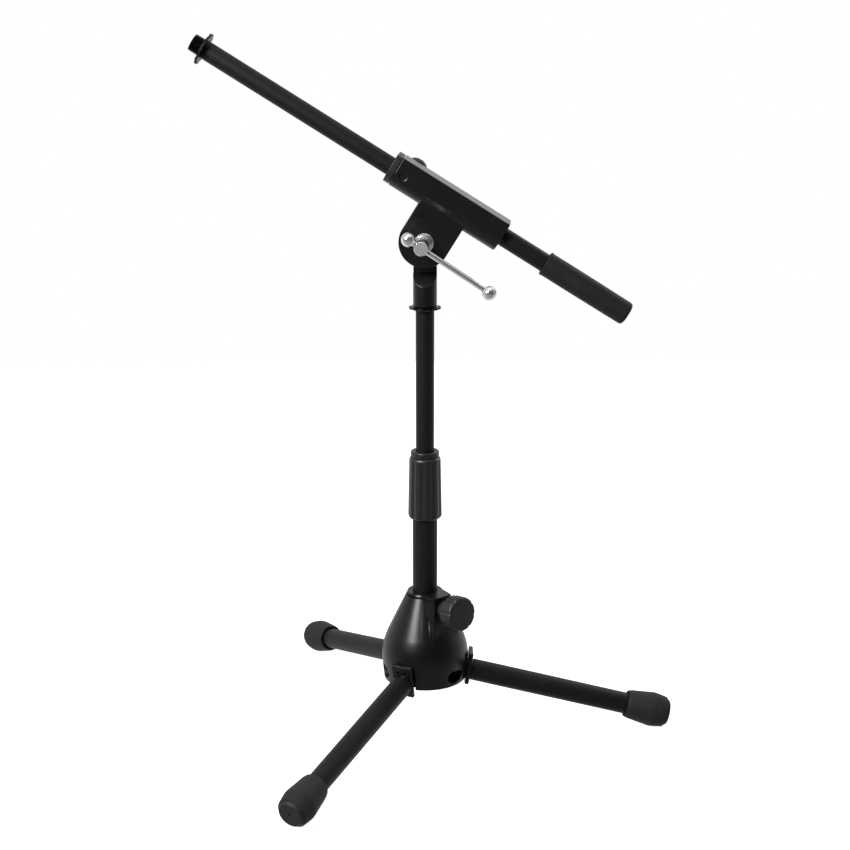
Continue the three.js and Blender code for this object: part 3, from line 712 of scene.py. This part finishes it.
FOOT_MOUTH_R = 11.1
FOOT_LIP_R = 12.15
FOOT_WIDEST_R = 15.5
FOOT_END_R = 11.9
FOOT_SLACK = 0.3
FOOT_CONE = 0.62
FOOT_RIBS = 8
RIB_DEPTH = 0.32
FOOT_TIP = ((0.5, -3.2), (0.1, -1.9), (-0.8, -0.8), (-1.3, -0.4), (-1.7, -0.65))


def tube(radius, wall, low, high):
    """A length of tube with deburred ends."""
    inner, burr = radius - wall, 0.25
    return turned([(inner, low + burr), (inner + burr, low), *bar(radius, low, high, burr),
                   (inner + burr, high), (inner, high - burr)], hollow=True)


def knuckle():
    """Hinge eye and tongue, the plate that bears on the bell, and the plug inside the tube."""
    eye = laid_y(half_round(EYE_R, TONGUE_REACH, -EYE_HALF, EYE_HALF, 64))
    tongue = turned_by(soften(eye, 0.6, segments=2), y=180)
    plate = block((PLATE_BACK, -PLATE_HALF, PLATE_LOW), (PLATE_FRONT, PLATE_HALF, PLATE_HIGH))
    plate = turned_by(soften(plate, 0.9, segments=3), y=-PLATE_LEAN)
    for side in (-HOLE_SIDE, HOLE_SIDE):
        cut(plate, moved(laid_x(drum(HOLE_R, PLATE_BACK - 3, PLATE_FRONT + 7, sides=24)), y=side, z=HOLE_Z))
    collar = laid_x(turned([(COLLAR_R, PLATE_FRONT - 2), (COLLAR_R, COLLAR_END), (PLUG_R, COLLAR_END + 0.4),
                            (PLUG_R, PLUG_END - 0.7), (PLUG_R - 0.7, PLUG_END)], sides=64))
    return cut(weld(tongue, plate, collar), laid_y(drum(PIN_CLEAR_R, -10, 10, sides=32)))


def foot(low, high, bore):
    """A rubber foot along X: flared lip, smooth cone, ribbed taper and a dished end."""
    start, stop = low + (high - low) * FOOT_CONE, high - 3.4
    step = (stop - start) / FOOT_RIBS
    ribs = []
    for i in range(FOOT_RIBS):
        x = start + i * step
        taper = ((x - start) / (high - start)) ** 1.25
        radius = FOOT_WIDEST_R + (FOOT_END_R + 0.9 - FOOT_WIDEST_R) * taper
        ribs += [(radius, x), (radius, x + step * 0.55)]
        ribs += [(radius - RIB_DEPTH, x + step * 0.7), (radius - RIB_DEPTH, x + step * 0.9)]
    lip = [(FOOT_MOUTH_R, low + 0.4), (FOOT_MOUTH_R + 0.4, low), (FOOT_LIP_R - 0.4, low),
           (FOOT_LIP_R, low + 0.5), (FOOT_LIP_R + 0.9, low + 4)]
    cone = [(FOOT_WIDEST_R - 0.5, start - 5), (FOOT_WIDEST_R - 0.1, start - 2)]
    dish = [(2.0, high - 0.65), (1.6, high - 1.3), (0.3, high - 1.4)]
    inside = [(0.3, high - 4.5), (bore - 0.3, high - 4.5), (bore, high - 4.8), (bore, low + 7),
              (FOOT_MOUTH_R, low + 6.5)]
    tip = edge(FOOT_END_R, high, FOOT_TIP)
    return laid_x(turned([*lip, *cone, *ribs, *tip, *dish, *inside], sides=120, hollow=True))


def legs():
    """Models one leg and hinge, and sets a copy in each of the three places."""
    place = LEGS[1]
    low, high = place.reach("leg_tube_1")
    metal = laid_x(tube(high.z, LEG_WALL, low.x, high.x))
    bore = high.z + FOOT_SLACK
    low, high = place.reach("leg_foot_1")
    boot = foot(low.x, high.x, bore)
    under_floor = moved(block((0, -FAR, -FAR * 2), (400, FAR, 0)), z=-PIN_Z)
    cut(boot, turned_by(under_floor, y=-math.degrees(math.asin(-place.x.z))))
    hinge = knuckle()
    low, high = place.reach("hinge_pin_1")
    pin = laid_y(turned(bar(high.z, low.y, high.y, 0.4), sides=48))
    for number, spot in LEGS.items():
        fit(twin(metal), f"leg_{number}_pipe", spot, "tube_black", f"leg_tube_{number}")
        fit(twin(boot), f"leg_{number}_boot", spot, "foot_rubber", f"leg_foot_{number}", smooth=25)
        fit(twin(hinge), f"leg_{number}_hinge_plate", spot, "cast_black", f"leg_knuckle_{number}")
        fit(twin(pin), f"leg_{number}_pin", spot, "zinc_steel", f"hinge_pin_{number}")
    for piece in (metal, boot, hinge, pin):
        bpy.data.objects.remove(piece)


# ---------------------------------------------------------------- column
CLUTCH_FOOT_R, CLUTCH_HEAD_R = 15.0, 13.9
CLUTCH_MOUTH_R = 11.9
CLUTCH_INNER_R = 12.8
CLUTCH_FLUTES = 10
CLUTCH_PHASE = 9
CLUTCH_FLUTE = 0.062
CLUTCH_FOOT_EDGE = ((-2.4, 0.2), (-1.1, 1.1), (-0.3, 2.2))
CLUTCH_HEAD_EDGE = ((-0.15, -1.6), (-0.7, -0.6), (-1.6, 0))
JAW_BORE = 8.25
JAW_R = 11.6
JAW_SLITS = (20, 80, 140)
OUTER_WALL, INNER_WALL = 1.5, 1.2
MIC_PITCH = 25.4 / 27
MIC_TOOTH = 0.55
MIC_R = 7.7
SPIGOT_R = 6.5
SHOULDER_R = 8


def clutch_sleeve(base, top):
    """The fluted twist sleeve, a little wider at its foot."""
    def lean(z):
        return CLUTCH_FOOT_R + (CLUTCH_HEAD_R - CLUTCH_FOOT_R) * (z - base) / (top - base)

    heights = [base + 3.2 + (top - base - 6.4) * i / 8 for i in range(9)]
    outside = [(CLUTCH_MOUTH_R, base), *edge(CLUTCH_FOOT_R, base, CLUTCH_FOOT_EDGE),
               *[(lean(z), z) for z in heights], *edge(lean(top), top, CLUTCH_HEAD_EDGE)]
    inside = [(CLUTCH_MOUTH_R, top), (CLUTCH_MOUTH_R, top - 2.5), (CLUTCH_INNER_R, top - 2.5),
              (CLUTCH_INNER_R, base + 1), (CLUTCH_MOUTH_R, base + 0.8)]

    def depth_at(point):
        past_end = max(base + 3.1 - point.z, point.z - top + 3.1)
        if point.xy.length < 13 or past_end > 1.2:
            return 0
        depth = CLUTCH_FLUTE * max(0.0, 0.25 + 0.75 * wave(point, CLUTCH_FLUTES, CLUTCH_PHASE)) ** 1.3
        return depth / 2 if past_end > 0 else depth

    return flute(turned([*outside, *inside], sides=120, hollow=True), depth_at)


def clutch_jaws(low, high, cap_radius, sleeve_top):
    """The split collet that the sleeve closes on the inner tube."""
    seat = sleeve_top + 0.3
    ring = turned([(JAW_BORE, low), (JAW_R, low), (JAW_R, seat), (cap_radius - 0.4, seat),
                   (cap_radius, seat + 0.4), (cap_radius, high - 1), (cap_radius - 0.3, high - 0.4),
                   (cap_radius - 1, high), (JAW_BORE + 0.8, high), (JAW_BORE, high - 0.6)], hollow=True)
    for turn in JAW_SLITS:
        cut(ring, turned_by(block((-20, -0.4, low - 1), (20, 0.4, sleeve_top + 3)), z=turn))
    return ring


def clutch():
    low, high = COLUMN.reach("clutch_sleeve")
    sleeve_top = high.z
    fit(clutch_sleeve(low.z, sleeve_top), "clutch_grip", COLUMN, "clutch_plastic", "clutch_sleeve", smooth=28)
    low, high = COLUMN.reach("clutch_collet")
    jaws = clutch_jaws(low.z, high.z, high.x, sleeve_top)
    fit(jaws, "clutch_jaws", COLUMN, "clutch_plastic", "clutch_collet")


def lock_ring(outer, low, high, teeth=12):
    """A thin toothed plate: square teeth with rounded corners round a bored disc."""
    points = 8
    bpy.ops.object.select_all(action="DESELECT")
    bpy.ops.mesh.primitive_circle_add(vertices=teeth * points, radius=outer, location=(0, 0, low),
                                      fill_type="NGON")
    plate = freeze(bpy.context.object)
    roots = {v.index for v in plate.data.vertices if v.index % points < 3}
    pick(plate, lambda vertex: vertex.index in roots, "VERT")
    bpy.ops.transform.resize(value=(0.9, 0.9, 1), center_override=(0, 0, 0))
    bpy.ops.mesh.select_all(action="SELECT")
    bpy.ops.mesh.extrude_region_move(TRANSFORM_OT_translate={"value": (0, 0, high - low)})
    bpy.ops.mesh.select_all(action="SELECT")
    bpy.ops.mesh.normals_make_consistent(inside=False)
    done()
    cut(plate, drum(SHOULDER_R, low - 1, high + 1, sides=72))
    return soften(plate, 0.22, segments=2, angle=40)


def stud(low, shoulder, high):
    """A spigot, a shoulder and a 5/8 inch thread with a chamfered tip."""
    neck = SPIGOT_R - 0.5
    spigot = turned([(neck, low), (SPIGOT_R, low + 0.5), (SPIGOT_R, shoulder), (SHOULDER_R, shoulder),
                     (SHOULDER_R, shoulder + 1.1), (neck, shoulder + 1.1)], sides=72)
    screw = thread(MIC_R, MIC_TOOTH, MIC_PITCH, shoulder + 1, high)
    nose = turned([(9, shoulder), (9, high - 1.2), (7.0, high + 0.2)], sides=72)
    return weld(spigot, kept_inside(screw, nose))


def column():
    low, high = COLUMN.reach("outer_tube")
    fit(tube(high.x, OUTER_WALL, low.z, high.z), "outer_pipe", COLUMN, "tube_black", "outer_tube")
    low, high = COLUMN.reach("inner_tube")
    fit(tube(high.x, INNER_WALL, low.z, high.z), "mast_pipe", COLUMN, "tube_black", "inner_tube")
    mast_top = high.z
    low, high = COLUMN.reach("column_end_cap")
    plug_radius, rim_top = 9.2, low.z + 1.7
    cap = turned([(high.x - 0.8, low.z), (high.x, low.z + 0.6), (high.x, rim_top), (plug_radius, rim_top),
                  (plug_radius, high.z - 0.5), (plug_radius - 0.5, high.z)], sides=72)
    cut(cap, drum(2, low.z - 1, low.z + 4, sides=32))
    fit(cap, "column_plug", COLUMN, "inner_plastic", "column_end_cap")
    clutch()
    low, high = COLUMN.reach("mast_thread_insert")
    fit(stud(low.z, mast_top + 0.3, high.z), "mast_stud", COLUMN, "zinc_steel", "mast_thread_insert")
    low, high = COLUMN.reach("stem_lock_ring")
    fit(lock_ring(high.x, low.z, high.z), "stem_ring", COLUMN, "black_steel", "stem_lock_ring")


# ---------------------------------------------------------------- swivel
STEM_FOOT = COLUMN.reach("swivel_stem")[0].z - SWIVEL.origin.z / MM
STEM_R = 10.25
STEM_SOCKET_R = 8
STEM_SOCKET_TOP = 405 - SWIVEL.origin.z / MM
LAP = 1.3
LAP_LOW = 410.3 - SWIVEL.origin.z / MM
HEAD_R = 20
HEAD_BACK = 10.2
HUB_R = 11.5
HUB_RECESS_R = 9


def swivel_stem():
    """Round post with its front cut back to a lap, under a flat round head."""
    post = turned([(STEM_R - 0.7, STEM_FOOT), (STEM_R, STEM_FOOT + 0.7), (STEM_R, -1),
                   (STEM_R - 0.2, 0)], sides=120)
    ramp_low, ramp_top = LAP_LOW + STEM_R - FAR, LAP_LOW + STEM_R + LAP
    wedge = block((-FAR, -FAR, ramp_low), (FAR, LAP, FAR))
    pick(wedge, lambda v: v.co.z < ramp_low + 1 and v.co.y > 0, "VERT")
    bpy.ops.transform.translate(value=(0, 0, ramp_top - ramp_low))
    done()
    cut(post, wedge)
    soften(post, 0.5, segments=3, angle=30)
    head = soften(laid_y(drum(HEAD_R, LAP, HEAD_BACK, sides=120)), 0.7, segments=3)
    hub_face = HEAD_BACK + 0.05
    hub = laid_y(turned([(HUB_R, HEAD_BACK - 1), (HUB_R, hub_face), (HUB_RECESS_R, hub_face)], sides=72))
    weld(post, head, hub)
    socket = drum(STEM_SOCKET_R, STEM_FOOT - 1, STEM_SOCKET_TOP, sides=72)
    cut(post, socket, laid_y(drum(SCREW_CLEAR_R, -20, 20, sides=48)))
    fit(post, "swivel_post", SWIVEL, "cast_black", "swivel_stem")


def friction_disc():
    low, high = SWIVEL.reach("friction_disc")
    disc = turned([(SCREW_CLEAR_R, low.y), *bar(high.x, low.y, high.y, 0.3), (SCREW_CLEAR_R, high.y)],
                  hollow=True)
    fit(laid_y(disc), "friction_washer", SWIVEL, "foot_rubber", "friction_disc")


def pivot_nut():
    """A hexagon whose corners are rounded off towards both faces."""
    low, high = SWIVEL.reach("pivot_nut")
    radius, corner = (high - low).x / 2, 1.5
    nut = drum(radius, low.y, high.y, sides=6)
    kept_inside(nut, turned(bar(radius + 0.6, low.y - 0.1, high.y + 0.1, corner)))
    cut(nut, drum(SCREW_CLEAR_R, low.y - 1, high.y + 1, sides=48))
    fit(laid_y(soften(nut, 0.15, segments=2, angle=30)), "pivot_locknut", SWIVEL, "zinc_steel", "pivot_nut")


# ---------------------------------------------------------------- T-bar
SHANK_R = 6.0
BOLT_R = 3.9
BOLT_TOOTH = 0.45
THREAD_START = 7.5
ROD_CLEAR_R = 2.7
WASHER_EDGE = ((-1.9, 0), (-1.5, 0.25), (-1.4, 1.0), (-0.5, 1.1), (0, 1.5))


def tbar_hub():
    """The turned shank that the handle slides through, and the pivot bolt it is made in one with."""
    low, high = SWIVEL.reach("tbar_hub")
    start = SWIVEL.reach("tbar_washer")[0].y - 0.3
    shank = turned([(SHANK_R - 0.5, low.y), (SHANK_R, low.y + 0.5), (SHANK_R, start - 0.6),
                    (SHANK_R - 0.6, start), (BOLT_R, start), (BOLT_R, THREAD_START + 0.5)])
    screw = kept_inside(thread(BOLT_R - 0.05, BOLT_TOOTH, SCREW_PITCH, THREAD_START, high.y, 48),
                        turned([(6, 6), (6, high.y - 1), (3.2, high.y + 0.1)], sides=48))
    weld(shank, screw)
    rod_level = (TBAR.origin - SWIVEL.origin).dot(SWIVEL.y) / MM
    hole = turned_by(laid_x(drum(ROD_CLEAR_R, -20, 20, sides=48)), y=-math.degrees(math.asin(TBAR.x.z)))
    cut(laid_y(shank), moved(hole, y=rod_level))
    soften(shank, 0.12, segments=2, angle=40)
    shank.data.materials.append(FINISHES["chrome"])
    shank.data.materials.append(TURNED_FACE)
    for face in shank.data.polygons:
        face.material_index = int(face.normal.y < -0.9 and face.center.y < low.y + 0.6)
    fit(shank, "tbar_shank", SWIVEL, "chrome", "tbar_hub")


def tbar_washer():
    """A stepped washer: a small boss in front of a wider plate."""
    low, high = SWIVEL.reach("tbar_washer")
    radius = high.x
    washer = turned([(SCREW_CLEAR_R, low.y), *edge(radius, low.y, WASHER_EDGE), (radius, high.y - 0.3),
                     (radius - 0.3, high.y), (SCREW_CLEAR_R, high.y)], hollow=True)
    fit(laid_y(washer), "tbar_step_washer", SWIVEL, "chrome", "tbar_washer", smooth=25)


def tbar_rod():
    low, high = TBAR.reach("tbar_rod")
    rod = turned(bar(high.z, low.x, high.x, 0.4), sides=48)
    fit(laid_x(rod), "tbar_handle", TBAR, "chrome", "tbar_rod")


def tbar_balls():
    for name, turn in (("tbar_ball_near", 0), ("tbar_ball_far", 180)):
        low, high = TBAR.reach(name)
        bpy.ops.object.select_all(action="DESELECT")
        bpy.ops.mesh.primitive_uv_sphere_add(segments=64, ring_count=40, radius=(high.y - low.y) / 2)
        ball = laid_x(bpy.context.object)
        cut(ball, turned_by(laid_x(drum(ROD_CLEAR_R, 0, 20, sides=48)), y=turn))
        soften(ball, 0.12, segments=2, angle=40)
        fit(moved(ball, x=(low.x + high.x) / 2), f"{name}_knob", TBAR, "chrome", name)


# ---------------------------------------------------------------- clamp
CLAMP_HALF = 14
CLAMP_TOP = 13.5
CLAMP_INNER = 10.7
LID_THICK = 2
LID_MARGIN = 1.2
CHEEK_R = 21.9
CHEEK_FRONT = 11
CLAMP_LOW_X, CLAMP_HIGH_X = (corner.x for corner in BOOM.reach("clamp_body"))
RECESS_X = -44.3
RECESS = ((4.5, -1), (4.5, 0), (4.2, 0.12), (3.6, 0.5), (3.4, 1.3), (3.2, 1.4))
LINER_BORE = 8.3
LINER_SCREW_R = 4.9


def channel(half, top, front, rear, up=BOOM_AXIS_Z):
    """A bar along the boom, half-round below and flat on top."""
    return moved(laid_x(half_round(half, top, front, rear, 128)), z=up)


def screw_bore(radius):
    """The hole that the boom's clamping screw comes in through."""
    spot = BOOM_SCREW.origin - BOOM.origin
    return moved(laid_y(drum(radius, 0, 20, sides=48)), x=spot.dot(BOOM.x) / MM, z=spot.dot(BOOM.z) / MM)


def clamp_body():
    """The casting: a trough for the boom over a round cheek, with a rebate for the lid."""
    shell = channel(CLAMP_HALF, CLAMP_TOP, CLAMP_LOW_X, CLAMP_HIGH_X)
    cheek = turned_by(half_round(CHEEK_R, BOOM_AXIS_Z - 8, -CHEEK_FRONT, -LAP, 144), y=90, z=90)
    weld(soften(shell, 1.0, segments=3, angle=40), soften(cheek, 0.8, segments=3, angle=40))
    trough = channel(CLAMP_INNER, CLAMP_TOP + 1, CLAMP_LOW_X - 1, CLAMP_HIGH_X + 1)
    top = BOOM_AXIS_Z + CLAMP_TOP
    rebate = block((CLAMP_LOW_X - 1, LID_MARGIN - CLAMP_HALF, top - LID_THICK - 0.3),
                   (CLAMP_HIGH_X + 1, CLAMP_HALF - LID_MARGIN, top + 5))
    cut(shell, trough, rebate, screw_bore(SCREW_CLEAR_R))
    soften(shell, 0.2, segments=2, angle=50)
    recess = turned([(radius, depth - CLAMP_HALF) for radius, depth in RECESS], sides=48)
    recess = moved(laid_y(recess), x=RECESS_X, z=BOOM_AXIS_Z)
    cut(shell, recess, laid_y(drum(SCREW_CLEAR_R, -20, 5, sides=48)))
    fit(shell, "clamp_casting", BOOM, "cast_black", "clamp_body")


def clamp_lid():
    low, high = BOOM.reach("clamp_cover")
    lid = soften(block(low, high), 0.35, segments=3)
    lid.data.materials.append(FINISHES["lid_black"])
    fit(lid, "clamp_lid", BOOM, "cast_black", "clamp_cover")


def bushes():
    """Plastic liners that carry the boom, the front one with a flange over the casting's end."""
    for node, name in (("front_bush", "front_liner"), ("rear_bush", "rear_liner")):
        low, high = BOOM.reach(node)
        in_front = node == "front_bush"
        start = CLAMP_LOW_X - 1 if in_front else low.x
        liner = channel(CLAMP_INNER - 0.3, CLAMP_TOP - LID_THICK - 0.6, start, high.x)
        if in_front:
            flange = channel(CLAMP_HALF - 0.5, CLAMP_TOP - 0.4, low.x, CLAMP_LOW_X - 0.3)
            weld(liner, soften(flange, 0.5, segments=3, angle=40))
        cut(liner, moved(laid_x(drum(LINER_BORE, CLAMP_LOW_X - 20, CLAMP_HIGH_X + 20)), z=BOOM_AXIS_Z))
        if in_front:
            cut(liner, screw_bore(LINER_SCREW_R))
        fit(soften(liner, 0.15, segments=2, angle=45), name, BOOM, "inner_plastic", node)


# ---------------------------------------------------------------- boom
GRIP_BORE = 8.3
GRIP_LIP = ((-0.5, 0), (-0.1, 0.4), (0, 1.0), (-0.1, 1.7), (-0.35, 2.4), (-0.3, 20), (-0.4, 50))
GRIP_END = ((-0.55, -3.5), (-0.8, -1.8), (-1.5, -0.7), (-2.8, -0.1), (-4.5, 0))


def boom_pipe():
    low, high = ON_BOOM.reach("boom_tube")
    fit(laid_x(tube(high.z, INNER_WALL, low.x, high.x)), "boom_pipe", ON_BOOM, "tube_black", "boom_tube")


def boom_grip():
    """A moulded sleeve: rolled front lip, barely tapered barrel, rounded closed end."""
    low, high = ON_BOOM.reach("boom_grip")
    floor_x, pole = ON_BOOM.reach("boom_tube")[1].x + 1, 0.4
    outside = [(GRIP_BORE, low.x + 0.3), (GRIP_BORE + 0.4, low.x), *edge(high.z, low.x, GRIP_LIP),
               *edge(high.z, high.x, GRIP_END), (pole, high.x - 0.05)]
    sleeve = turned([*outside, (pole, floor_x), (GRIP_BORE, floor_x)], sides=120, hollow=True)
    fit(laid_x(sleeve), "boom_handle", ON_BOOM, "grip_rubber", "boom_grip")


def boom_tip():
    """The threaded end that takes the microphone clip, and its lock ring."""
    low, high = ON_BOOM.reach("boom_thread_insert")
    shoulder = -ON_BOOM.reach("boom_tube")[0].x + 0.3
    piece = turned_by(laid_x(stud(-high.x, shoulder, -low.x)), z=180)
    fit(piece, "boom_stud", ON_BOOM, "black_steel", "boom_thread_insert", smooth=30)
    low, high = ON_BOOM.reach("boom_lock_ring")
    ring = turned_by(laid_x(lock_ring(high.y, -high.x, -low.x)), z=180)
    fit(ring, "boom_ring_toothed", ON_BOOM, "black_steel", "boom_lock_ring")


def hidden_pieces():
    """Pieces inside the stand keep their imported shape, with a real finish."""
    plastic = ("hub_pressure_pad", "clutch_insert", "inner_tube_bush", "boom_shoe")
    for node in (*plastic, "boom_counterweight"):
        materials = frame["nodes"][node].data.materials
        materials.clear()
        materials.append(FINISHES["inner_plastic" if node in plastic else "zinc_steel"])


# ---------------------------------------------------------------- studio
CAMERA_DISTANCE = 1.430
CAMERA_HEIGHT = 0.6714
CAMERA_DOWN = 15.075
CAMERA_ROUND = 0.68
LENS = 71.51
STAND_MIDDLE = Vector((0, 0, 0.28))


def camera():
    round_by = math.radians(CAMERA_ROUND)
    spot = COLUMN.origin + CAMERA_DISTANCE * Vector((-math.sin(round_by), -math.cos(round_by), 0))
    bpy.ops.object.camera_add(location=(spot.x, spot.y, CAMERA_HEIGHT),
                              rotation=(math.radians(90 - CAMERA_DOWN), 0, -round_by))
    eye = bpy.context.object
    eye.data.lens = LENS
    eye.data.sensor_width = 36
    bpy.context.scene.camera = eye


def softbox(name, azimuth, elevation, distance, width, height, radiance):
    """A soft panel that faces the middle of the stand; azimuth 0 is behind the camera, 90 on its right."""
    round_by, up_by = math.radians(azimuth), math.radians(elevation)
    level = math.cos(up_by)
    way = Vector((math.sin(round_by) * level, -math.cos(round_by) * level, math.sin(up_by)))
    bpy.ops.object.light_add(type="AREA", location=STAND_MIDDLE + way * distance)
    lamp = bpy.context.object
    lamp.name = name
    lamp.rotation_euler = way.to_track_quat("Z", "Y").to_euler()
    lamp.data.shape = "RECTANGLE"
    lamp.data.size = width
    lamp.data.size_y = height
    lamp.data.energy = radiance * math.pi * width * height
    lamp.visible_camera = False


def brighten(tree, direction, low, high, dim, bright):
    """Room light that goes from dim to bright while one part of a ray's direction goes from low to high."""
    node = tree.nodes.new("ShaderNodeMapRange")
    for socket, value in (("From Min", low), ("From Max", high), ("To Min", dim), ("To Max", bright)):
        node.inputs[socket].default_value = value
    tree.links.new(direction, node.inputs["Value"])
    return node


def surroundings():
    """A white room whose side behind the camera is dim, so that black pieces keep their shape."""
    world = bpy.data.worlds.new("studio")
    world.use_nodes = True
    bpy.context.scene.world = world
    tree = world.node_tree
    light = tree.nodes["Background"]
    seen = tree.nodes.new("ShaderNodeBackground")
    for background in (light, seen):
        background.inputs["Color"].default_value = (1, 1, 1, 1)
    seen.inputs["Strength"].default_value = 1.0
    way = tree.nodes.new("ShaderNodeTexCoord")
    parts = tree.nodes.new("ShaderNodeSeparateXYZ")
    tree.links.new(way.outputs["Generated"], parts.inputs[0])
    room = brighten(tree, parts.outputs["Y"], low=-0.7, high=0.7, dim=0.02, bright=0.7)
    room.interpolation_type = "SMOOTHSTEP"
    bounce = brighten(tree, parts.outputs["Z"], low=-0.02, high=-0.35, dim=0.0, bright=0.16)
    total = tree.nodes.new("ShaderNodeMath")
    tree.links.new(room.outputs[0], total.inputs[0])
    tree.links.new(bounce.outputs[0], total.inputs[1])
    tree.links.new(total.outputs[0], light.inputs["Strength"])
    ray = tree.nodes.new("ShaderNodeLightPath")
    mix = tree.nodes.new("ShaderNodeMixShader")
    tree.links.new(ray.outputs["Is Camera Ray"], mix.inputs[0])
    tree.links.new(light.outputs[0], mix.inputs[1])
    tree.links.new(seen.outputs[0], mix.inputs[2])
    tree.links.new(mix.outputs[0], tree.nodes["World Output"].inputs["Surface"])


def floor():
    bpy.ops.object.select_all(action="DESELECT")
    bpy.ops.mesh.primitive_plane_add(size=2.4, location=(0, 0.3, -0.0005))
    ground = freeze(bpy.context.object)
    ground.name = "floor"
    paint = Finish("floor_white", base_color=grey(0.5), roughness=0.6, emission_color=grey(1),
                   emission_strength=0.9)
    ground.data.materials.append(paint.material)
    ground.visible_glossy = False


def studio():
    camera()
    surroundings()
    floor()
    softbox("strip", azimuth=-45, elevation=36, distance=1.6, width=0.55, height=0.95, radiance=26)
    softbox("overhead", azimuth=20, elevation=78, distance=1.5, width=1.4, height=1.4, radiance=0.8)
    softbox("rim", azimuth=135, elevation=30, distance=1.8, width=0.5, height=1.2, radiance=3)
    bpy.context.scene.view_settings.view_transform = "Standard"


# ---------------------------------------------------------------- the stand
studio()
bell()
hub_knob()
legs()
column()
swivel_stem()
friction_disc()
pivot_nut()
tbar_hub()
tbar_washer()
tbar_rod()
tbar_balls()
clamp_body()
clamp_lid()
bushes()
boom_knob()
boom_pipe()
boom_grip()
boom_tip()
hidden_pieces()
